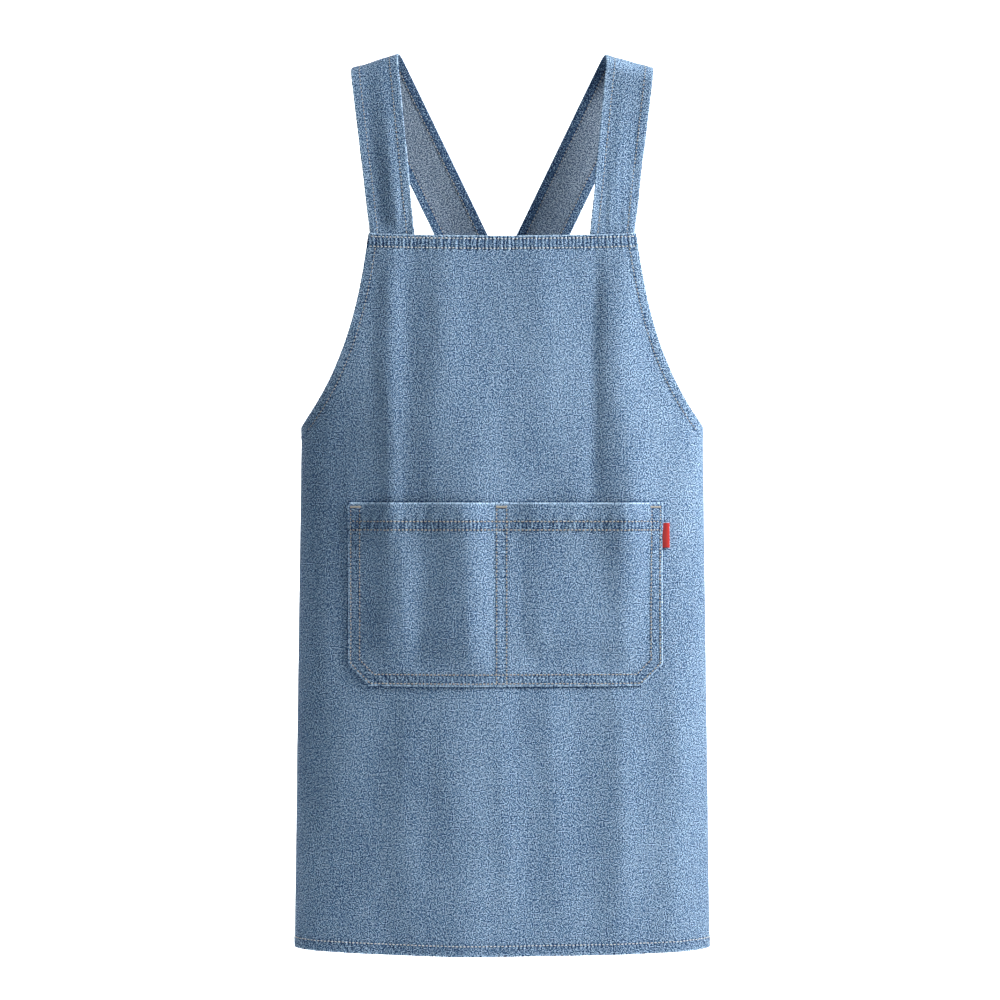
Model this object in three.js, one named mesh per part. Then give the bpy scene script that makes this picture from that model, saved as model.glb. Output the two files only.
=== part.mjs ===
// A denim artist's apron, hanging from its two shoulder straps as it does on a hanger or a wearer.
// Millimetres, +Z up, the bib faces -Y. "Left" and "right" are as seen from the front (-X is left).
// The origin is the hang point: midway between the two shoulder straps, level with the undersides
// of their crowns, where a hanger's bar or the wearer's shoulders carry the apron.
//
// The body hangs as a flattened tube: at every height its section is a superellipse, of which the
// front panel is the front half and the two back panels are most of the back half. Each strap is a
// flat ribbon: it rises from the bib, passes over the sloping shoulder line, crosses the other
// strap behind the back and ends inside the opposite back panel's top corner.
import * as THREE from 'three';

// ---------------------------------------------------------------- driving dimensions
const DENIM = 1.2;              // thickness of one layer of denim
const FACING = 0.9;             // thickness of a facing or binding strip
const GAP = 0.3;                // clearance between pieces that touch
const EASE = 0.6;               // clearance between pieces that lie together round a curve
const THREAD = { width: 0.9, thickness: 0.5 };

const HEM_Z = -902;             // bottom hem, below the hang point
const HEM_RISE = 3;             // how much the hem climbs from the centre front to the side
const SIDE_Z = -372;            // underarm corner, where the armhole meets the side seam
const BIB_Z = -180;             // top edge of the bib
const HEM_HALF = 211;           // half width at the hem
const SIDE_HALF = 204;          // half width at the underarm corner
const BIB_HALF = 134.5;         // half width at the bib's top edge

const SECTION_POWER = 2.5;      // superellipse power: flatter front and back than an ellipse
const FRONT_DEPTH = { hem: 52, side: 48, bib: 40 };   // bulge of the front from the side seams
const BACK_DEPTH = { hem: 25, side: 20 };             // bulge of the back from the side seams
const BIB_SET_BACK = 8;         // how far the top of the bib is drawn back by the straps

const HEM_BAND = 10;            // depth of the turned bottom hem
const BIB_BAND = 13;            // depth of the bib's top band
const EDGE_BAND = 9;            // width of the armhole facing and of the back panels' hems

const BACK_OPENING_HALF = 25;   // half the gap between the two back panels
const BACK_TOP_Z = -440;        // top edge of the back panels, at the straps

const STRAP = {
  thickness: 1.6,
  shoulderX: 128.5,             // crown centre, from the centre line
  slope: THREE.MathUtils.degToRad(16),      // of the shoulder line, down outwards
  skew: THREE.MathUtils.degToRad(9.8),      // of the ribbon, against the shoulder line's square
  bend: 17,                     // inside radius of the fold over the shoulder
  width: 48,                    // at the crown
  taper: 0.022,                 // narrowing per millimetre from the crown down to the bib
  tuck: BIB_BAND - 1,           // length held behind the bib's band
  lap: 32,                      // length held inside the back panel
  crossingZ: -262,              // where the two straps cross behind the back
  crossingLift: 1.4,            // each strap's shift from their common middle there
};

const POCKET = {
  left: -154, right: 160, divider: -0.5,
  top: -449.5, bottom: -632, chamfer: 21,
  mouthBand: 27,                // depth of the turned mouth hem
  fullness: 9,                  // how far each compartment stands off the front panel
  edgeRows: [1.6, 10.6],        // rows of stitching round the edge, in from it
  dividerRow: 5,                // rows of stitching each side of the divider
  mouthRows: [18, 26.5],        // rows of stitching along the mouth, below its edge
  rise: 28,                     // width over which a compartment rises from its stitching
};

const LABEL = { width: 7, height: 25, top: -469, thickness: 1.6 };

// ---------------------------------------------------------------- looks
const COLOURS = {
  denim: 0x6f8fae,
  denimInside: 0x8b9bab,
  thread: 0xcdbf9f,
  label: 0xc3252b,
};
const materials = Object.fromEntries(
  Object.entries(COLOURS).map(([name, color]) => [
    name,
    new THREE.MeshStandardMaterial({ color, roughness: 0.92, metalness: 0 }),
  ]),
);

const apron = new THREE.Group();

function addPiece(name, geometry, material) {
  const mesh = new THREE.Mesh(geometry, materials[material]);
  mesh.name = name;
  apron.add(mesh);
}

// ---------------------------------------------------------------- the body's surface
const { lerp, clamp, smoothstep } = THREE.MathUtils;
const share = (value, from, to) => clamp((value - from) / (to - from), 0, 1);

// The section at height z: half width, front and back bulge, and the side seam's Y.
function sectionAt(z) {
  const down = share(z, SIDE_Z, HEM_Z);
  const up = share(z, SIDE_Z, BIB_Z);
  return {
    half: lerp(SIDE_HALF, HEM_HALF, down),
    front: up > 0 ? lerp(FRONT_DEPTH.side, FRONT_DEPTH.bib, up)
      : lerp(FRONT_DEPTH.side, FRONT_DEPTH.hem, down),
    back: lerp(BACK_DEPTH.side, BACK_DEPTH.hem, down),
    sideY: BIB_SET_BACK * smoothstep(up, 0, 1),
  };
}

// A point of the body's surface at x and z, with its outward normal, moved outwards by lift.
// face is -1 for the front and +1 for the back.
function bodyPoint(x, z, face, lift = 0) {
  const { half, front, back, sideY } = sectionAt(z);
  const depth = face < 0 ? front : back;
  const across = clamp(Math.abs(x) / half, 0, 1);
  const out = (1 - across ** SECTION_POWER) ** (1 / SECTION_POWER);
  const normal = new THREE.Vector3(
    (Math.sign(x) * across ** (SECTION_POWER - 1)) / half,
    (face * out ** (SECTION_POWER - 1)) / depth,
    0,
  ).normalize();
  const point = new THREE.Vector3(Math.sign(x) * across * half, sideY + face * depth * out, z);
  return { point: point.addScaledVector(normal, lift), normal };
}

// x spread over a section from x0 to x1 by equal steps of its angle, which crowds points into
// the tight turn at the side seam.
function spreadX(x0, x1, half, t) {
  const toAngle = (x) => Math.sign(x) * Math.asin((Math.abs(x) / half) ** (SECTION_POWER / 2));
  const angle = lerp(toAngle(x0), toAngle(x1), t);
  return Math.sign(angle) * half * Math.abs(Math.sin(angle)) ** (2 / SECTION_POWER);
}

const hemZ = (x) => HEM_Z + HEM_RISE * (x / HEM_HALF) ** 2;

// ---------------------------------------------------------------- solids from surfaces
// A closed sheet: at(u, v) gives { point, normal } of its middle surface for u and v from 0 to 1,
// with u x v along the normal. Its quads are split so that left and right mirror each other.
function sheetGeometry(columns, rows, at, thickness) {
  const stride = columns + 1;
  const layerSize = stride * (rows + 1);
  const positions = [];
  for (const side of [1, -1]) {
    for (let j = 0; j <= rows; j++) {
      for (let i = 0; i <= columns; i++) {
        const [u, v] = [i / columns, j / rows];
        const { point, normal } = at(u, v);
        positions.push(...point.clone().addScaledVector(normal, (side * thickness) / 2));
      }
    }
  }
  const index = [];
  const middleX = (a, b) => positions[a * 3] + positions[b * 3];
  const quad = (a, b, c, d) => {
    if (middleX(a, c) + middleX(b, d) > 0) index.push(a, b, c, a, c, d);
    else index.push(b, c, d, b, d, a);
  };
  for (let j = 0; j < rows; j++) {
    for (let i = 0; i < columns; i++) {
      const a = j * stride + i;
      quad(a, a + 1, a + stride + 1, a + stride);
      const b = a + layerSize;
      quad(b, b + stride, b + stride + 1, b + 1);
    }
  }
  const rim = (a, b) => quad(a, a + layerSize, b + layerSize, b);
  for (let i = 0; i < columns; i++) {
    rim(i, i + 1);
    rim(rows * stride + i + 1, rows * stride + i);
  }
  for (let j = 0; j < rows; j++) {
    rim(j * stride + columns, (j + 1) * stride + columns);
    rim((j + 1) * stride, j * stride);
  }
  return new THREE.BufferGeometry()
    .setAttribute('position', new THREE.Float32BufferAttribute(positions, 3))
    .setIndex(index);
}

// A closed strip along a list of { point, normal }: width across the path, thickness along the
// normal. Its corners are mitred, so that it keeps its width through a bend.
function stripGeometry(path, width, thickness) {
  const tangents = path.map(({ point }, i) => {
    const before = i > 0 ? point.clone().sub(path[i - 1].point).normalize() : null;
    const after = i < path.length - 1 ? path[i + 1].point.clone().sub(point).normalize() : null;
    const tangent = (before ?? after).clone().add(after ?? before).normalize();
    return { tangent, mitre: 1 / Math.max(tangent.dot(before ?? after), 0.5) };
  });
  const at = (u, v) => {
    const i = Math.round(u * (path.length - 1));
    const { point, normal } = path[i];
    const { tangent, mitre } = tangents[i];
    const across = new THREE.Vector3().crossVectors(normal, tangent).normalize();
    return { point: point.clone().addScaledVector(across, (v - 0.5) * width * mitre), normal };
  };
  return sheetGeometry(path.length - 1, 1, at, thickness);
}

// The corners of a plan of [x, z] points, with each straight cut into steps no longer than step.
function subdivided(plan, step) {
  const points = [plan[0]];
  for (let k = 1; k < plan.length; k++) {
    const [[x0, z0], [x1, z1]] = [plan[k - 1], plan[k]];
    const cuts = Math.max(1, Math.ceil(Math.hypot(x1 - x0, z1 - z0) / step));
    for (let i = 1; i <= cuts; i++) points.push([lerp(x0, x1, i / cuts), lerp(z0, z1, i / cuts)]);
  }
  return points;
}

// A plan of [x, z] points laid on the body at a lift.
const laid = (plan, face, lift) => plan.map(([x, z]) => bodyPoint(x, z, face, lift));

const THREAD_STEP = 24;         // longest straight of a thread on a curved panel
const onPanel = DENIM / 2 + 0.45 + THREAD.thickness / 2;
const onPocket = onPanel + 0.35;  // the pocket's cloth turns more tightly

function addThread(name, plan, face = -1, lift = onPanel) {
  const path = laid(subdivided(plan, THREAD_STEP), face, lift);
  addPiece(name, stripGeometry(path, THREAD.width, THREAD.thickness), 'thread');
}

// ---------------------------------------------------------------- the front panel
// The armhole's edge in the front view, from the underarm corner up to the bib's top corner.
const armhole = new THREE.CubicBezierCurve(
  new THREE.Vector2(SIDE_HALF, SIDE_Z),
  new THREE.Vector2(SIDE_HALF - 35, SIDE_Z + 44),
  new THREE.Vector2(BIB_HALF + 12, BIB_Z - 92),
  new THREE.Vector2(BIB_HALF, BIB_Z),
);

// The point [x, z] at t along the armhole, set in from its edge by inset.
function armholeInset(side, t, inset) {
  const edge = armhole.getPoint(t);
  const along = armhole.getTangent(t);
  return [side * (edge.x - along.y * inset), edge.y + along.x * inset];
}

function frontPanel() {
  const columns = 24;
  const skirtRows = 8;
  const bibRows = 10;
  const rows = skirtRows + bibRows;
  const at = (u, v) => {
    const row = v * rows;
    const inBib = row > skirtRows;
    const edge = inBib ? armhole.getPoint((row - skirtRows) / bibRows)
      : { x: sectionAt(lerp(HEM_Z, SIDE_Z, row / skirtRows)).half, y: 0 };
    const level = inBib ? edge.y : lerp(HEM_Z, SIDE_Z, row / skirtRows);
    const x = spreadX(-edge.x, edge.x, sectionAt(level).half, u);
    const z = inBib ? level : lerp(hemZ(x), SIDE_Z, row / skirtRows);
    return bodyPoint(x, z, -1);
  };
  return sheetGeometry(columns, rows, at, DENIM);
}

addPiece('front_panel', frontPanel(), 'denim');

// A horizontal plan line at height z, between two x.
const level = (z, x0, x1) => [[x0, z], [x1, z]];

const inside = -(DENIM / 2 + EASE + FACING / 2);
const behindStraps = -(DENIM / 2 + 2 * EASE + STRAP.thickness + FACING / 2);

// Turned hem of the front, lying inside its bottom edge.
const hemLine = (face, x0, x1, rise, steps) =>
  Array.from({ length: steps + 1 }, (_, i) => {
    const x = spreadX(x0, x1, HEM_HALF, i / steps);
    return [x, hemZ(x) + rise];
  });
addPiece(
  'front_hem_fold',
  stripGeometry(laid(hemLine(-1, 4 - HEM_HALF, HEM_HALF - 4, HEM_BAND / 2, 24), -1, inside),
    HEM_BAND - 1, FACING),
  'denimInside',
);

addPiece(
  'bib_facing',
  stripGeometry(
    laid(subdivided(level(BIB_Z - BIB_BAND / 2, 1 - BIB_HALF, BIB_HALF - 1), 18), -1, behindStraps),
    BIB_BAND - 1, FACING),
  'denimInside',
);

// The facing follows the panel's curve across its width as well as along it.
function armholeFacing(side) {
  const at = (u, v) => {
    const t = lerp(0.1, 0.93, u);
    const inset = lerp(0.5, EDGE_BAND - 0.5, side > 0 ? v : 1 - v);
    const [x, z] = armholeInset(side, t, inset);
    const easing = 1 - share(u, 0, 0.3);
    return bodyPoint(x, z, -1, inside - easing);
  };
  return sheetGeometry(16, 2, at, FACING);
}

for (const [name, side] of [['left', -1], ['right', 1]]) {
  addPiece(`armhole_facing_${name}`, armholeFacing(side), 'denimInside');
  const line = Array.from({ length: 19 }, (_, i) =>
    armholeInset(side, lerp(0.03, 0.92, i / 18), EDGE_BAND - 0.8));
  const threadPath = laid(line, -1, onPanel);
  addPiece(`armhole_topstitch_${name}`,
    stripGeometry(threadPath, THREAD.width, THREAD.thickness), 'thread');
}

addThread('bib_topstitch_upper', level(BIB_Z - 2.2, 2 - BIB_HALF, BIB_HALF - 2));
addThread('bib_topstitch_lower', level(BIB_Z - BIB_BAND + 0.6, 2 - BIB_HALF, BIB_HALF - 2));
addPiece(
  'front_hem_topstitch',
  stripGeometry(laid(hemLine(-1, 3 - HEM_HALF, HEM_HALF - 3, HEM_BAND - 0.4, 24), -1, onPanel),
    THREAD.width, THREAD.thickness),
  'thread',
);

// ---------------------------------------------------------------- the pocket
const pocketSeat = DENIM + EASE;   // from the front panel's middle to the pocket's, at its seams
const SEAM_FLAT = { side: 12, divider: 6.5, bottom: 12 };   // kept flat by the stitching

// The pocket's half outline below the mouth: how far its edge is in from its side at height z.
const chamferInset = (z) => Math.max(0, POCKET.bottom + POCKET.chamfer - z);

function pocketLift(x, z) {
  const fromSide = Math.min(x - POCKET.left, POCKET.right - x) - chamferInset(z) - SEAM_FLAT.side;
  const fromDivider = Math.abs(x - POCKET.divider) - SEAM_FLAT.divider;
  const fromBottom = z - POCKET.bottom - SEAM_FLAT.bottom;
  return pocketSeat + POCKET.fullness * smoothstep(Math.min(fromSide, fromDivider), 0, POCKET.rise)
    * smoothstep(fromBottom, 0, POCKET.rise);
}

// Distances that cut a compartment of the given width, from its outer seam to the divider, into
// flat margins, four steps up, three level steps and four steps down.
function compartmentCuts(width) {
  const rising = [0, 1, 2, 3, 4].map((k) => SEAM_FLAT.side + (k / 4) * POCKET.rise);
  const falling = [4, 3, 2, 1, 0].map((k) => width - SEAM_FLAT.divider - (k / 4) * POCKET.rise);
  const level = [1, 2].map((k) => lerp(rising[4], falling[0], k / 3));
  return [0, ...rising, ...level, ...falling, width];
}

function pocketPanel() {
  const mouthCuts = [0, 1, 2].map((k) => lerp(POCKET.top, POCKET.bottom + 42, k / 3));
  const bottomCuts = [42, 34, 26, POCKET.chamfer, SEAM_FLAT.bottom, 6, 0].map(
    (rise) => POCKET.bottom + rise);
  const heights = [...mouthCuts, ...bottomCuts].reverse();
  const columns = 2 * compartmentCuts(1).length - 2;
  const rows = heights.length - 1;
  const at = (u, v) => {
    const z = heights[Math.round(v * rows)];
    const [x0, x1] = [POCKET.left + chamferInset(z), POCKET.right - chamferInset(z)];
    const cuts = [
      ...compartmentCuts(POCKET.divider - x0).map((cut) => x0 + cut),
      ...compartmentCuts(x1 - POCKET.divider).map((cut) => x1 - cut).reverse().slice(1),
    ];
    const x = cuts[Math.round(u * columns)];
    return bodyPoint(x, z, -1, pocketLift(x, z));
  };
  return sheetGeometry(columns, rows, at, DENIM);
}

addPiece('pocket_panel', pocketPanel(), 'denim');

function addPocketThread(name, plan) {
  const path = subdivided(plan, 10).map(([x, z]) => bodyPoint(x, z, -1, pocketLift(x, z) + onPocket));
  addPiece(name, stripGeometry(path, THREAD.width, THREAD.thickness), 'thread');
}

// The pocket's outline set in by inset: down the left side, along the bottom, up the right side.
function pocketOutline(inset, top) {
  const cut = POCKET.chamfer - inset * (2 - Math.SQRT2);
  const [x0, x1, z0] = [POCKET.left + inset, POCKET.right - inset, POCKET.bottom + inset];
  return [
    [x0, top], [x0, z0 + cut], [x0 + cut, z0],
    [x1 - cut, z0], [x1, z0 + cut], [x1, top],
  ];
}

POCKET.mouthRows.forEach((below, k) => {
  addPocketThread(`pocket_mouth_topstitch_${k ? 'lower' : 'upper'}`,
    level(POCKET.top - below, POCKET.left + 13, POCKET.right - 13));
});
POCKET.edgeRows.forEach((inset, k) => {
  addPocketThread(`pocket_edge_topstitch_${k ? 'inner' : 'outer'}`,
    pocketOutline(inset, POCKET.top - 8));
});
for (const [name, side] of [['left', -1], ['right', 1]]) {
  const x = POCKET.divider + side * POCKET.dividerRow;
  addPocketThread(`pocket_divider_topstitch_${name}`,
    [[x, POCKET.top - POCKET.mouthRows[1] - 3], [x, POCKET.bottom + POCKET.edgeRows[1] + 2]]);
}

// Bar tacks that hold the pocket's mouth at its corners and at the divider.
const TACK = { length: 10, width: 2.2, below: 3.5 };
for (const [name, x] of [
  ['left', POCKET.left + 6], ['centre', POCKET.divider], ['right', POCKET.right - 6]]) {
  const path = subdivided(level(POCKET.top - TACK.below, x - TACK.length / 2, x + TACK.length / 2), 5)
    .map(([px, z]) => bodyPoint(px, z, -1, pocketLift(px, z) + onPocket));
  addPiece(`pocket_bartack_${name}`, stripGeometry(path, TACK.width, 0.8), 'thread');
}

// The folded tape label, caught in the pocket's right seam.
const labelPath = [0, 1].map((t) => bodyPoint(
  POCKET.right + GAP + LABEL.width / 2, LABEL.top - t * LABEL.height, -1,
  DENIM / 2 + GAP + LABEL.thickness / 2));
addPiece('pocket_label', stripGeometry(labelPath, LABEL.width, LABEL.thickness), 'label');

// ---------------------------------------------------------------- the back panels
// The back panel's top edge: level at the strap, then climbing to the underarm corner.
const backTop = new THREE.CubicBezierCurve(
  new THREE.Vector2(BACK_OPENING_HALF, BACK_TOP_Z),
  new THREE.Vector2(120, BACK_TOP_Z),
  new THREE.Vector2(158, BACK_TOP_Z + 24),
  new THREE.Vector2(SIDE_HALF, SIDE_Z - 0.5),
);

// Height of the top edge at x, by halving the curve's parameter.
function backTopZ(x) {
  let [low, high] = [0, 1];
  for (let k = 0; k < 24; k++) {
    const middle = (low + high) / 2;
    if (backTop.getPoint(middle).x < x) low = middle;
    else high = middle;
  }
  return backTop.getPoint(low).y;
}

const seamGap = GAP;             // between the front and back panels' edges at the side seam

function backPanel(side) {
  const [columns, rows] = [14, 8];
  const at = (u, v) => {
    // u runs so that u x v points out of the back on either side.
    const t = side > 0 ? 1 - u : u;
    const probe = spreadX(BACK_OPENING_HALF, SIDE_HALF, SIDE_HALF, t);
    const z = lerp(hemZ(probe), backTopZ(probe), v);
    const { half } = sectionAt(z);
    const x = spreadX(BACK_OPENING_HALF, half, half, t);
    const place = bodyPoint(side * x, z, 1);
    place.point.y += seamGap;
    return place;
  };
  return sheetGeometry(columns, rows, at, DENIM);
}

const backLift = onPanel + 0.3;
for (const [name, side] of [['left', -1], ['right', 1]]) {
  addPiece(`back_panel_${name}`, backPanel(side), 'denim');

  const edgeX = BACK_OPENING_HALF + EDGE_BAND - 0.8;
  const upright = (x, z0, z1) => subdivided([[side * x, z0], [side * x, z1]], 160);
  addPiece(`back_edge_topstitch_${name}`,
    stripGeometry(laid(upright(edgeX, HEM_Z + HEM_BAND + 2, BACK_TOP_Z - EDGE_BAND), 1, backLift),
      THREAD.width, THREAD.thickness), 'thread');

  const foldX = BACK_OPENING_HALF + EDGE_BAND / 2 + 0.5;
  addPiece(`back_edge_fold_${name}`,
    stripGeometry(laid(upright(foldX, HEM_Z + HEM_BAND + 2, BACK_TOP_Z - STRAP.lap - 6), 1,
      inside - 0.3), EDGE_BAND - 1, FACING), 'denimInside');

  const alongTop = (inset) => [0.02, 0.2, 0.38, 0.54, 0.68, 0.8, 0.9].map((t) => {
    const edge = backTop.getPoint(t);
    return [side * edge.x, edge.y - inset];
  });
  addPiece(`back_top_topstitch_${name}`,
    stripGeometry(laid(alongTop(EDGE_BAND - 0.8), 1, backLift), THREAD.width, THREAD.thickness),
    'thread');
  const beyondStrap = alongTop(EDGE_BAND / 2 + 0.5).filter(([x]) => Math.abs(x) > 118);
  addPiece(`back_top_facing_${name}`,
    stripGeometry(laid(beyondStrap, 1, inside - 0.3), EDGE_BAND - 1, FACING), 'denimInside');

  const hemPath = (rise, end) => hemLine(1, side * (BACK_OPENING_HALF + 1), side * end, rise, 10);
  addPiece(`back_hem_topstitch_${name}`,
    stripGeometry(laid(hemPath(HEM_BAND - 0.4, HEM_HALF - 4), 1, backLift),
      THREAD.width, THREAD.thickness), 'thread');
  addPiece(`back_hem_fold_${name}`,
    stripGeometry(laid(hemPath(HEM_BAND / 2, HEM_HALF - 10), 1, inside - 0.3),
      HEM_BAND - 1, FACING), 'denimInside');

  // The side seam's allowance, pressed to the back and lying inside the back panel.
  const allowanceX = 5.2;
  const seamPath = [SIDE_Z - 16, HEM_Z + HEM_BAND + 6].map((z) =>
    bodyPoint(side * (sectionAt(z).half - allowanceX), z, 1, inside - 0.4));
  addPiece(`side_seam_${name}`, stripGeometry(seamPath, 7, FACING), 'denimInside');
}

// ---------------------------------------------------------------- the straps
// Directions for a strap over the +X shoulder: along the shoulder line, outwards and down, and
// square to it, outwards and up.
const alongShoulder = new THREE.Vector3(Math.cos(STRAP.slope), 0, -Math.sin(STRAP.slope));
const offShoulder = new THREE.Vector3(Math.sin(STRAP.slope), 0, Math.cos(STRAP.slope));
const drift = Math.tan(STRAP.skew);
const foldRadius = STRAP.bend + STRAP.thickness / 2;
const foldAxis = new THREE.Vector3(STRAP.shoulderX, 0, 0).addScaledVector(offShoulder, -STRAP.bend);

const CROSSING_HALF = 60;        // half the height over which the two straps lie on each other

// Half the ribbon's width, measured along the shoulder line, at a distance past the crown.
const ribbonHalf = (past) =>
  (STRAP.width + STRAP.taper * Math.min(past, 0)) / 2 / Math.cos(STRAP.skew);

// A point of the fold over the shoulder: turn runs from -90 degrees at the front to 90 behind, and
// across from -1 on the neck edge to 1 on the arm edge.
function foldPoint(turn, across) {
  const past = foldRadius * turn;
  const out = new THREE.Vector3(0, Math.sin(turn), 0)
    .addScaledVector(offShoulder, Math.cos(turn));
  const point = foldAxis.clone().addScaledVector(out, foldRadius)
    .addScaledVector(alongShoulder, across * ribbonHalf(past) - drift * past);
  return { point, normal: out };
}

// Where an edge of the ribbon reaches height z, on the front (end -1) or behind (end 1).
function edgeX(across, z, end) {
  const start = foldPoint((end * Math.PI) / 2, across).point;
  const spread = end < 0 ? (-across * STRAP.taper) / 2 : 0;
  const run = offShoulder.clone().negate()
    .addScaledVector(alongShoulder, spread - end * drift);
  return start.x + (run.x * (z - start.z)) / run.z;
}

// Y of the middle of a strap's straight part at [x, z]: from the fold to the panel it ends on.
function straightY(x, z, end, crossing) {
  const holdZ = end < 0 ? BIB_Z : BACK_TOP_Z;
  const panel = bodyPoint(x, Math.min(z, holdZ), end, -(DENIM / 2 + EASE + STRAP.thickness / 2));
  const top = -foldRadius * Math.cos(STRAP.slope);
  const apart = Math.abs(z - STRAP.crossingZ);
  const bow = crossing * (1 - smoothstep(apart, CROSSING_HALF, CROSSING_HALF + 40));
  return lerp(end * foldRadius, panel.point.y, smoothstep(share(z, top, holdZ), 0, 1)) + bow;
}

// The strap as a sheet: u across from the neck edge to the arm edge, v from the bib over the
// shoulder to the back panel. crossing lifts it over the other strap behind the back.
function strapSurface(crossing) {
  const frontRows = 7;
  const foldRows = 9;            // odd, so that one flat facet lies on the crown
  const backRows = 18;
  const rows = frontRows + foldRows + backRows;
  const straight = (across, t, end) => {
    const z0 = foldPoint((end * Math.PI) / 2, across).point.z;
    const z1 = end < 0 ? BIB_Z - STRAP.tuck : BACK_TOP_Z - STRAP.lap;
    const z = lerp(z0, z1, t);
    const x = edgeX(across, z, end);
    const y = straightY(x, z, end, end > 0 ? crossing : 0);
    return { point: new THREE.Vector3(x, y, z), normal: new THREE.Vector3(0, end, 0) };
  };
  const at = (u, v) => {
    const row = Math.round(v * rows);
    const across = 2 * u - 1;
    if (row < frontRows) return straight(across, 1 - row / frontRows, -1);
    if (row > frontRows + foldRows) return straight(across, (row - frontRows - foldRows) / backRows, 1);
    return foldPoint(lerp(-Math.PI / 2, Math.PI / 2, (row - frontRows) / foldRows), across);
  };
  return { at, rows };
}

const STRAP_COLUMNS = 4;

function mirrored(place) {
  const flip = (v) => v.clone().setX(-v.x);
  return { point: flip(place.point), normal: flip(place.normal) };
}

for (const [name, side] of [['left', -1], ['right', 1]]) {
  const { at, rows } = strapSurface(-side * STRAP.crossingLift);
  const placed = (across, row) => {
    const place = at((across + 1) / 2, row / rows);
    return side < 0 ? mirrored(place) : place;
  };
  // For the left strap u is reversed with the mirroring, so that u x v still follows the normal.
  const surface = (u, v) => placed(side * (2 * u - 1), v * rows);
  addPiece(`strap_${name}`,
    sheetGeometry(STRAP_COLUMNS, rows, surface, STRAP.thickness), 'denim');

  for (const [edge, across] of [['neck', -0.66], ['arm', 0.66]]) {
    const lift = STRAP.thickness / 2 + GAP + THREAD.thickness / 2;
    const path = [];
    for (let row = 1; row <= rows - 3; row++) {
      const { point, normal } = placed(across, row);
      path.push({ point: point.clone().addScaledVector(normal, lift), normal });
    }
    addPiece(`strap_${name}_topstitch_${edge}`,
      stripGeometry(path, THREAD.width, THREAD.thickness), 'thread');
  }

  // Box of stitching that holds the strap's back end, on the opposite back panel's outside.
  const [boxTop, boxBottom] = [BACK_TOP_Z - 10, BACK_TOP_Z - STRAP.lap + 3];
  const corner = (across, z) => [-side * -edgeX(across * 0.8, z, 1), z];
  const box = [corner(-1, boxTop), corner(1, boxTop), corner(1, boxBottom), corner(-1, boxBottom),
    corner(-0.97, boxTop - 1.6)];
  addPiece(`strap_${name}_box_stitch`,
    stripGeometry(laid(subdivided(box, THREAD_STEP), 1, backLift), THREAD.width, THREAD.thickness),
    'thread');
}

export default apron;
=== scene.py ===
import functools
import math

import bpy
import numpy as np
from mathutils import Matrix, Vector


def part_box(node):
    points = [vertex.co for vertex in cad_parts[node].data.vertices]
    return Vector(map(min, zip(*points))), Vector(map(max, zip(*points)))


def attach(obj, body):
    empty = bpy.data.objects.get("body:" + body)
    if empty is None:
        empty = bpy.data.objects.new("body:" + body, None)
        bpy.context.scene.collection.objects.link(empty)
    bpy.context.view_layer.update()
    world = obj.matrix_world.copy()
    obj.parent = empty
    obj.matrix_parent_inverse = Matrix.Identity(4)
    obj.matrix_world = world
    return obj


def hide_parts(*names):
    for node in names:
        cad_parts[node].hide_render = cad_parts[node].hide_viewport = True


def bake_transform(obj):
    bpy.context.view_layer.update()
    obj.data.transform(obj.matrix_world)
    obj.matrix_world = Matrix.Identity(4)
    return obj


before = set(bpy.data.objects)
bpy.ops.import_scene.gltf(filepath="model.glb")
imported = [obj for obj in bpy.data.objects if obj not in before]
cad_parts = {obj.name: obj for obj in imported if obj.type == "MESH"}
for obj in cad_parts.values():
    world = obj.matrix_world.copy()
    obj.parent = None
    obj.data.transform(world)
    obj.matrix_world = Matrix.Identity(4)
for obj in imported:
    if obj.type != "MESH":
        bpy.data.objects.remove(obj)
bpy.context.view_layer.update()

# A denim cross-back apron round the frame's CAD: closed sheets of cloth, shaped by folds and
# puckers, with every stitch as its own small thread.

# ---- sizes, in millimetres
# The frame's axes in millimetres: +X to the viewer's right, +Z up, the bib faces -Y.


def box_mm(node):
    """The low and high corners of a CAD node."""
    low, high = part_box(node)
    return np.array(low) * 1000, np.array(high) * 1000


FRONT_LOW, FRONT_HIGH = box_mm("front_panel")
BACK_LOW, BACK_HIGH = box_mm("back_panel_right")
POCKET_LOW, POCKET_HIGH = box_mm("pocket_panel")
LABEL_LOW, LABEL_HIGH = box_mm("pocket_label")
BIB_HIGH = box_mm("bib_facing")[1]
SIDES = (("left", -1), ("right", 1))

DENIM = 1.2                            # thickness of the CAD's cloth
CLOTH = 0.45                           # half the thickness of one layer of the visible cloth
POWER = 2.5                            # superellipse power of the body's section
HEM_Z, BIB_Z = FRONT_LOW[2], FRONT_HIGH[2]
SIDE_Z = BACK_HIGH[2] + 0.5            # underarm corner
HEM_HALF = FRONT_HIGH[0] - DENIM / 2   # half widths at the hem, underarm and bib
SIDE_HALF = 204.0
BIB_HALF = BIB_HIGH[0] + 1.4
HEM_RISE = 3.0                         # of the hem at the sides
FRONT_DEPTHS = (52.0, 48.0, 40.0)      # bulge of the front at the hem, underarm and bib
BACK_DEPTHS = (25.0, 20.0)             # bulge of the back at the hem and underarm
BIB_SET_BACK = 8.0
BACK_OPENING = BACK_LOW[0]             # from the centre line to a back panel's edge
BACK_TOP_Z = box_mm("strap_right_box_stitch")[1][2] + 10.0

# Turned bands and, as distances in from the edge, their rows of stitches.
HEM_BAND, BIB_BAND, EDGE_BAND = 10.0, 13.0, 9.0
HEM_ROW, EDGE_ROW, BIB_ROWS = HEM_BAND - 0.3, EDGE_BAND - 0.8, (2.6, BIB_BAND - 0.6)
PITCH = 3.8                            # from stitch to stitch
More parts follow.
